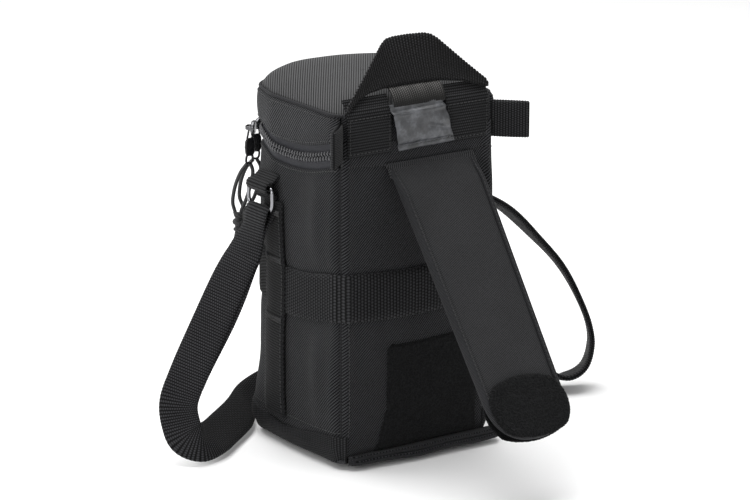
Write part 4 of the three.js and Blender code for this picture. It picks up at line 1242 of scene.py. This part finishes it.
# Places along the strap in mm and its width direction there: x, y, z, then a direction.
STRAP_RUN = [
    (77, -17, 147, -0.4, 0.92, 0), (93.5, -16, 126, -0.62, 0.78, 0.03),
    (113.5, -15, 93, -0.76, 0.64, 0.08), (134, -13.5, 58, -0.8, 0.58, 0.12),
    (141.5, -13.5, 40, -0.8, 0.57, 0.15), (141, -12.5, 27, -0.8, 0.48, 0.33),
    (139, -8, 17, -0.66, 0.2, 0.72), (131.5, -3.5, 12.8, -0.15, -0.23, 0.96),
    (117.5, -10.5, 11, 0.36, -0.5, 0.78), (95, -28, 10.5, 0.4, -0.53, 0.75),
    (72, -47, 10.6, 0.39, -0.52, 0.76), (50, -69, 11.2, 0.28, -0.42, 0.86),
    (20, -85, 12.3, 0.12, -0.35, 0.93), (-32, -95, 13.2, 0, -0.2, 0.98),
    (-56, -93.5, 13.3, -0.03, -0.12, 0.99), (-84, -84, 13.4, -0.05, -0.05, 0.99),
    (-114, -62, 13.4, 0, 0, 1), (-137, -30, 13.4, 0.08, 0.08, 0.99), (-156, -8, 11, 0.33, 0.55, 0.76),
    (-173, 5, 7.6, 0.5, 0.84, 0.2), (-187, 8, 14, 0.53, 0.82, 0.15), (-194.5, 6, 28, 0.54, 0.83, 0.12),
    (-195.5, 2, 42, 0.54, 0.84, 0.12), (-189.5, -6, 65, 0.5, 0.86, 0.12),
    (-178, -11, 86.5, 0.42, 0.9, 0.12), (-159, -15, 108.5, 0.3, 0.95, 0.1),
    (-131, -17, 135, 0.1, 1, 0.05), (-96, -17, 155.5, 0, 1, 0),
]


def strap_line():
    """The strap's centres, width directions and faces, at steady steps of its run."""
    run = np.array(STRAP_RUN, float)
    run[:, :3] *= MM
    steps = 10
    count = STRAP_STEPS * steps + 1
    centres = spline(run[:, :3], count)
    along = directions(centres)
    across = square_to(along, unit(spline(run, count)[:, 3:]))
    low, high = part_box("strap_adjuster")
    buckle = int(np.argmin(np.linalg.norm(centres - (np.array(low) + np.array(high)) / 2, axis=1)))
    return centres, across, np.cross(along, across), steps, buckle


def strap_fold(sign, tilt, length, reverse):
    """The strap's turn round its ring, from the outer layer's start to the inner layer's."""
    middle = np.array([sign * RING_X, RING_Y, FOLD_Z])
    out = np.array([sign * math.sin(tilt), 0, -math.cos(tilt)])
    side = np.array([sign * math.cos(tilt), 0, math.sin(tilt)])
    radius = 3.1 * MM
    points = [middle + out * length + side * LAYER_STEP / 2, middle + out * 7 * MM + side * 2.1 * MM]
    for angle in np.linspace(0, math.pi, 9):
        points.append(middle + (side * math.cos(angle) - out * math.sin(angle)) * radius)
    points += [middle + out * 7 * MM - side * 2.1 * MM, middle + out * length - side * LAYER_STEP / 2]
    return points[::-1] if reverse else points


def nearer_fold(start, *turn):
    """The strap's turn, run from whichever of its ends is nearer to start."""
    folds = [strap_fold(*turn, reverse) for reverse in (False, True)]
    return min(folds, key=lambda fold: np.linalg.norm(start - fold[0]))


def strap_piece(name, rows):
    """Webbing through rows of (centre, width direction), and its length."""
    points = np.array([r[0] for r in rows])
    across = np.array([r[1] for r in rows])
    keep = np.concatenate([[True], np.linalg.norm(np.diff(points, axis=0), axis=1) > 0.4 * MM])
    points, across = points[keep], across[keep]
    line = spline(np.hstack([points, across]), len(points) * 6)
    piece = webbing(name, line[:, :3], unit(line[:, 3:]), STRAP_WIDE, STRAP_THICK, 0.11 * MM, 0.25 * MM)
    return piece, lengths_along(line[:, :3])[-1]


def add_strap():
    centres, across, face, steps, buckle = strap_line()
    y_axis = np.array([0.0, 1.0, 0.0])
    index = np.arange(len(centres))
    shift = 2.4 * MM * (smooth(index, 18, 50) * (1 - smooth(index, 55, 98)))[:, None] * across
    tail = [(centres[i] + shift[i] - face[i] * LAYER_STEP, across[i])
            for i in range(LEFT_TAIL_END * steps, 17, -5)]
    main = [(centres[i], across[i]) for i in range(18, buckle, 5)]
    fold = nearer_fold(centres[0] - face[0] * LAYER_STEP, 1, 0.44, 11 * MM)
    rows = tail + [(p, y_axis) for p in fold] + main
    left, left_length = strap_piece("strap_left", rows)
    inner = [(centres[i] + face[i] * LAYER_STEP, across[i])
             for i in range(buckle - 2 * steps, STRAP_STEPS * steps + 1, 5)]
    outer = [(centres[i], across[i]) for i in range(STRAP_STEPS * steps, buckle, -5)]
    fold = nearer_fold(centres[-1] + face[-1] * LAYER_STEP, -1, 0.91, 12 * MM)
    rows = inner + [(p, y_axis) for p in fold] + outer
    right, right_length = strap_piece("strap_right", rows)
    for piece, length, nodes, side, stop in (
        (left, left_length, ("shoulder_strap", "strap_tail_left", "strap_end_left"), "left", centres[60]),
        (right, right_length, ("strap_loop", "strap_tail_right", "strap_end_right"), "right", centres[-70]),
    ):
        piece.data.materials.append(STRAP_WEBBING)
        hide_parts(*nodes)
        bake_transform(piece)


def ring_line(sign):
    """The D-shaped line of a ring: a straight bar on top and a curved bow below."""
    x = sign * RING_X
    points = [(x, RING_Y + share * (RING_HALF - 1.5 * MM), RING_Z) for share in np.linspace(-1, 1, 7)]
    points += [(x, RING_Y + RING_HALF, RING_Z - 2 * MM), (x, RING_Y + RING_HALF, RING_Z - 6 * MM)]
    for angle in np.linspace(0, math.pi, 17):
        y = RING_Y + RING_HALF * math.cos(angle)
        points.append((x, y, RING_Z - 9 * MM - 10 * MM * math.sin(angle) ** 0.8))
    points += [(x, RING_Y - RING_HALF, RING_Z - 6 * MM), (x, RING_Y - RING_HALF, RING_Z - 2 * MM)]
    return resample(np.array(points + points[:1]), 121)[:-1]


def add_rings():
    for side, sign in SIDES:
        ring = tube("ring_" + side + "_wire", ring_line(sign), 1.35 * MM, 14, closed=True, up=(1, 0, 0))
        finish_piece(ring, "ring_" + side, CHROME, "ring_metal", "d_ring_" + side)
        wall = HALF + 5.2 * MM
        shape = [(wall - 1.6 * MM, RING_Z + 8.5 * MM), (wall - 0.4 * MM, RING_Z + 7 * MM),
                 (wall + 2 * MM, RING_Z + 5 * MM)]
        for angle in np.linspace(math.pi * 0.62, -math.pi * 0.55, 9):
            shape.append((RING_X + 3.5 * MM * math.cos(angle), RING_Z + 3.5 * MM * math.sin(angle)))
        shape += [(wall + 1.6 * MM, RING_Z - 5.5 * MM), (wall + 0.4 * MM, RING_Z - 10 * MM)]
        points = spline(np.array([(sign * x, RING_Y, z) for x, z in shape]), 160)
        tab = webbing("tab_webbing_" + side, points, (0, 1, 0), 25 * MM, 1.4 * MM)
        finish_piece(tab, "pouch", WEBBING, "webbing", "ring_tab_" + side)


def add_adjuster():
    """A three-bar slide: two rounded frame loops, one on each side of the strap's two layers, joined by a
    post at each end.
    """
    centres, across, face, _, i = strap_line()
    middle = centres[i] + face[i] * LAYER_STEP / 2
    along = unit(centres[i + 4] - centres[i - 4])
    wide = across[i]
    up_ = np.cross(along, wide)
    half, depth = 15 * MM, 9 * MM
    corner = 3 * MM
    outline = []
    for c, n, start in ((1, 1, 0), (-1, 1, 90), (-1, -1, 180), (1, -1, 270)):
        for t in np.radians(np.linspace(start, start + 90, 5)):
            outline.append((c * (half - corner) + corner * math.cos(t),
                            n * (depth - corner) + corner * math.sin(t)))
    outline = np.array(outline)
    line = middle + outline[:, :1] * wide + outline[:, 1:] * along
    bars = [wire_loop("frame_bar", line + up_ * lift, 73, 1.25 * MM, up_) for lift in (-3.9 * MM, 3.9 * MM)]
    post = np.linspace(-1, 1, 8)[:, None]
    for end in (-half, half):
        bars.append(tube("post", middle + wide * end + up_ * post * 3.9 * MM, 1.5 * MM, 10, up=along))
    frame_piece = joined("adjuster_frame", bars)
    finish_piece(frame_piece, "pouch", PLASTIC, "black_plastic", "strap_adjuster")


# ---- Zip sliders, pulls and cords ----
SLIDER_CENTRE = np.array(JOINTS["slider_a_run"]["pos_m"], float)
SLIDER_RADIUS = 34.9 * MM
PIVOT_OUT = 4.1 * MM
TAB_LENGTH = 25 * MM
CORD_WIDTH = 2.7 * MM
TWIST = math.radians(58)
SLIDERS = (("a", math.radians(-43), 5.6 * MM), ("b", math.radians(-62), 6.2 * MM))


def slider_point(angle, x, y, z):
    """A point in a slider's own frame: x out of the bag, y along the zip, z up."""
    x, y, z = together(x, y, z)
    c, n = math.cos(angle), math.sin(angle)
    return np.stack([
        SLIDER_CENTRE[0] + (SLIDER_RADIUS + x) * c - y * n,
        SLIDER_CENTRE[1] + (SLIDER_RADIUS + x) * n + y * c,
        SLIDER_CENTRE[2] + z,
    ], -1)


def hung_point(angle, x, y, z):
    """A point of a hanging pull: the lower it is, the further it has turned about its pivot."""
    x, y, z = together(x, y, z)
    turn = TWIST * smooth(-z, 2 * MM, 12 * MM)
    c, n = np.cos(turn), np.sin(turn)
    out = x - PIVOT_OUT
    lean = 8.5 * MM * smooth(-z, 16 * MM, 62 * MM)
    return slider_point(angle, PIVOT_OUT + lean + out * c + y * n, y * c - out * n, z)


def pull_cord_path(angle, bow):
    """The pull cord's loop, hanging from the pull to its knot."""
    top = -TAB_LENGTH - 0.9 * MM
    half = [(0, 1.3 * MM, 0), (0.2 * MM, bow * 0.75, 5 * MM), (0.4 * MM, bow, 12 * MM),
            (0.5 * MM, bow, 20 * MM), (0.5 * MM, bow * 0.7 + 0.7 * MM, 28 * MM),
            (0.5 * MM, 2.4 * MM, 34 * MM), (0.5 * MM, 1.7 * MM, 37 * MM)]
    points = [(PIVOT_OUT + x, y, top - z) for x, y, z in half]
    points.append((PIVOT_OUT + 0.5 * MM, 0, top - 38 * MM))
    points += [(PIVOT_OUT + x, -y, top - z) for x, y, z in half[::-1]]
    return np.array([hung_point(angle, *p) for p in points])


def add_pull_cords():
    for letter, angle, bow in SLIDERS:
        path = spline(pull_cord_path(angle, bow), 90)
        outward = np.array([math.cos(angle), math.sin(angle), 0.0])
        cord = tube("cord_loop_" + letter, path, CORD_WIDTH / 2, 12, up=outward)
        top = -TAB_LENGTH - 0.9 * MM
        knots = []
        for index, (down, radius) in enumerate(((36.5, 2.9), (41.5, 3.5), (46.5, 2.8))):
            turn = np.linspace(0, 2 * np.pi, 25)[:-1] + index
            ring = hung_point(angle, PIVOT_OUT + 0.5 * MM + radius * 0.62 * MM * np.cos(turn),
                              radius * 0.8 * MM * np.sin(turn),
                              top - down * MM + (1.5 - index * 0.5) * MM * np.sin(turn + index * 1.9))
            knots.append(tube("wrap", ring, 1.35 * MM, 10, closed=True, up=UP))
        core = hung_point(angle, PIVOT_OUT + 0.5 * MM, np.zeros(8), top - np.linspace(35, 51, 8) * MM)
        fat = np.array([1.2, 2.0, 2.3, 2.4, 2.4, 2.2, 1.6, 0.7]) * MM
        knots.append(tube("core", core, fat, 10, up=outward))
        for side in (-1, 1):
            z = np.linspace(47, 54.5, 9)
            end = hung_point(angle, PIVOT_OUT + (0.5 + 0.12 * (z - 47)) * MM,
                             side * (0.9 + 0.16 * (z - 47)) * MM, top - z * MM)
            knots.append(tube("tail", end, CORD_WIDTH / 2 * np.linspace(1, 0.85, 9), 10, up=outward))
        knot = joined("cord_knot_" + letter, knots)
        finish_piece(knot, "pull_" + letter, CORD, "cord", "pull_knot_" + letter)
        finish_piece(cord, "pull_" + letter, CORD, "cord", "pull_cord_" + letter)


def rounded_loop(half_wide, low, high, radius):
    """A closed upright rectangle with round corners, as (y, z) pairs."""
    points = []
    corners = ((half_wide, high, 0), (-half_wide, high, 90), (-half_wide, low, 180), (half_wide, low, 270))
    for cy, cz, start in corners:
        for t in np.radians(np.linspace(start, start + 90, 5)):
            y = cy - math.copysign(radius, cy) + radius * math.cos(t)
            z = cz - (radius if cz == high else -radius) + radius * math.sin(t)
            points.append((y, z))
    return np.array(points)


def add_sliders():
    for letter, angle, _ in SLIDERS:
        outward = np.array([math.cos(angle), math.sin(angle), 0.0])
        turn = np.linspace(0, 2 * np.pi, 32, endpoint=False)
        c, n = np.cos(turn), np.sin(turn)
        y = 5.0 * MM * bulged(c, 0.7)
        z = 4.3 * MM * bulged(n, 0.7) * (1 - 0.22 * c)
        rings = []
        for x, share in ((0.0, 0.82), (0.1, 0.92), (0.7, 1.0), (2.0, 1.0), (2.6, 0.94), (2.9, 0.82)):
            rings.append(slider_point(angle, x * MM, y * share, z * share))
        body = sweep("plate", rings)
        arch = [(2.0, -3.9), (3.6, -3.8), (5.6, -3.0), (6.5, -1.4), (6.6, 0), (6.5, 1.4), (5.6, 3.0),
                (3.6, 3.8), (2.0, 3.9)]
        line = spline(np.array([slider_point(angle, a * MM, b * MM, 0.0) for a, b in arch]), 40)
        bridge = strap("bridge", line, UP, 2.6 * MM, 1.0 * MM)
        piece = joined("slider_body_" + letter, [body, bridge])
        finish_piece(piece, "slider_" + letter, GUNMETAL, "ring_metal", "zip_slider_" + letter)
        link = rounded_loop(2.7 * MM, -8.6 * MM, 0.8 * MM, 1.7 * MM)
        link = hung_point(angle, PIVOT_OUT, link[:, 0], link[:, 1])
        parts = [wire_loop("link", link, 65, 0.72 * MM, outward)]
        sections = []
        for down, half, thick in ((7.6, 2.0, 0.7), (8.2, 2.9, 0.95), (10, 3.6, 1.1), (14, 3.8, 1.1),
                                  (18, 3.4, 1.1), (19.6, 2.7, 0.9), (20.3, 2.2, 0.6)):
            deep = thick * MM * bulged(n, 0.6)
            sections.append(hung_point(angle, PIVOT_OUT + deep, half * MM * bulged(c, 0.5), -down * MM))
        parts.append(sweep("plate", sections))
        eye = rounded_loop(2.3 * MM, -TAB_LENGTH - 0.3 * MM, -19.2 * MM, 1.9 * MM)
        eye = hung_point(angle, PIVOT_OUT, eye[:, 0], eye[:, 1])
        parts.append(wire_loop("eye", eye, 57, 0.8 * MM, outward))
        pull = joined("pull_plate_" + letter, parts)
        finish_piece(pull, "pull_" + letter, BLACK_METAL, "black_metal", "zip_pull_" + letter)


# ---- Stitch lines ----
def add_body_stitching():
    rows = [
        stitch_row(ZIP_START, ZIP_END, WALL_TOP - 1.9 * MM, 0.25 * MM),
        stitch_row(CORNER_S, FAR_S, TRIM_TOP + 2.5 * MM, 0.25 * MM),
        stitch_column(-55.5 * MM, TRIM_TOP, BAND_LOW, 0.3 * MM),
        stitch_column(55.5 * MM, TRIM_TOP, BAND_LOW, 0.3 * MM),
    ]
    for s in (CORNER_S + STRIP_S, FAR_S - STRIP_S):
        for side in (-10.3 * MM, 10.3 * MM):
            rows.append(stitch_column(s + side, 24 * MM, 172 * MM, 4.0 * MM, crumple=0.6))
        for z in (BAND_LOW - 6 * MM, BAND_HIGH + 3 * MM, RING_Z - 13 * MM):
            for step in (-0.9 * MM, 0.9 * MM):
                rows.append(bar_tack(s, z + step, 10.5 * MM, 4.1 * MM))
    finish_piece(joined("body_stitching", rows), "pouch", THREAD, "webbing")


def add_lid_stitching():
    lid_rows = []
    s = np.linspace(CORNER_S, FAR_S, 300)
    for z in (LID_BOTTOM + 2.3 * MM, LID_EDGE - 2.6 * MM):
        level = np.full((len(s), 1), z)
        p = skin(s[:, None], level, lid_profile(level) + 0.2 * MM, 0.7)[:, 0]
        lid_rows.append(stitches("row", p, outward_at(s)))
    for side in ("left", "right"):
        low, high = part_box("handle_leg_" + side)
        y = REAR + 2.9 * MM
        inset = 2.2 * MM
        x0, x1, z0, z1 = low.x + inset, high.x - inset, low.z + inset, high.z - 4 * MM
        box_line = [(x0, y, z0), (x1, y, z0), (x1, y, z1), (x0, y, z1), (x0, y, z0)]
        for a, b in zip(box_line, box_line[1:]):
            lid_rows.append(stitches("box", np.linspace(a, b, 20), (0, 1, 0), radius=0.28 * MM))
    finish_piece(joined("lid_stitching", lid_rows), "lid", THREAD, "webbing")
    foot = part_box("hanger_panel")[0].z + 3.6 * MM
    line = [(-29 * MM + 45 * MM * t, REAR + 4.6 * MM, foot - (t - 0.5) * 1.0 * MM)
            for t in np.linspace(0.03, 0.97, 30)]
    thread = stitches("panel_stitching", line, (0, 1, 0), 3.2 * MM, 2.4 * MM)
    finish_piece(thread, "lid", THREAD, "webbing")


add_pull_cords()
add_body()
add_base()
add_lining()
add_bands()
add_patch()
add_flange()
add_zip()
add_lid()
rear_seam_piping()
add_zip_tabs()
add_handle()
add_ribbon_and_panel()
add_flap_pad()
add_flap_binding()
add_flap_piles()
add_flap_seam()
add_rings()
add_strap()
add_adjuster()
add_sliders()
add_body_stitching()
add_lid_stitching()
board = bpy.data.objects["base_board"]
board.data.materials.clear()
board.data.materials.append(BOARD)


# ---- Stage ----
def add_stage():
    floor = bpy.data.meshes.new("floor")
    size = 4.0
    corners = [(-size, -size, 0), (size, -size, 0), (size, size, 0), (-size, size, 0)]
    floor.from_pydata(corners, [], [(0, 1, 2, 3)])
    plane = bpy.data.objects.new("floor", floor)
    bpy.context.scene.collection.objects.link(plane)
    plane.location.z = min(CAD_BOX[0][2], 0.0) - 0.0004
    material, tree, shader = new_material("floor_paper")
    soft = noise_node(tree, place(tree), 3.0)
    tree.links.new(mix(tree, soft, (0.9, 0.9, 0.9), (0.93, 0.93, 0.93)), shader.inputs["Base Color"])
    shader.inputs["Roughness"].default_value = 0.9
    floor.materials.append(material)


def add_light(name, place_at, target, size, power):
    data = bpy.data.lights.new(name, "AREA")
    data.shape = "RECTANGLE"
    data.size, data.size_y = size
    data.energy = power
    lamp = bpy.data.objects.new(name, data)
    bpy.context.scene.collection.objects.link(lamp)
    lamp.location = place_at
    lamp.rotation_euler = (Vector(target) - Vector(place_at)).to_track_quat("-Z", "Y").to_euler()


def add_lights():
    world = bpy.data.worlds.new("studio")
    world.use_nodes = True
    background = world.node_tree.nodes["Background"]
    background.inputs[0].default_value = (1, 1, 1, 1)
    background.inputs[1].default_value = 0.5
    bpy.context.scene.world = world
    middle = (0, 0, 0.12)
    add_light("overhead", (0.1, -0.35, 1.7), middle, (1.8, 1.8), 46)
    add_light("left_side", (1.75, 0.95, 0.75), middle, (0.5, 1.2), 14)
    add_light("rear_fill", (-0.9, 1.8, 0.9), middle, (1.0, 1.0), 3)
    bpy.context.scene.view_settings.view_transform = "Standard"


add_stage()
add_lights()
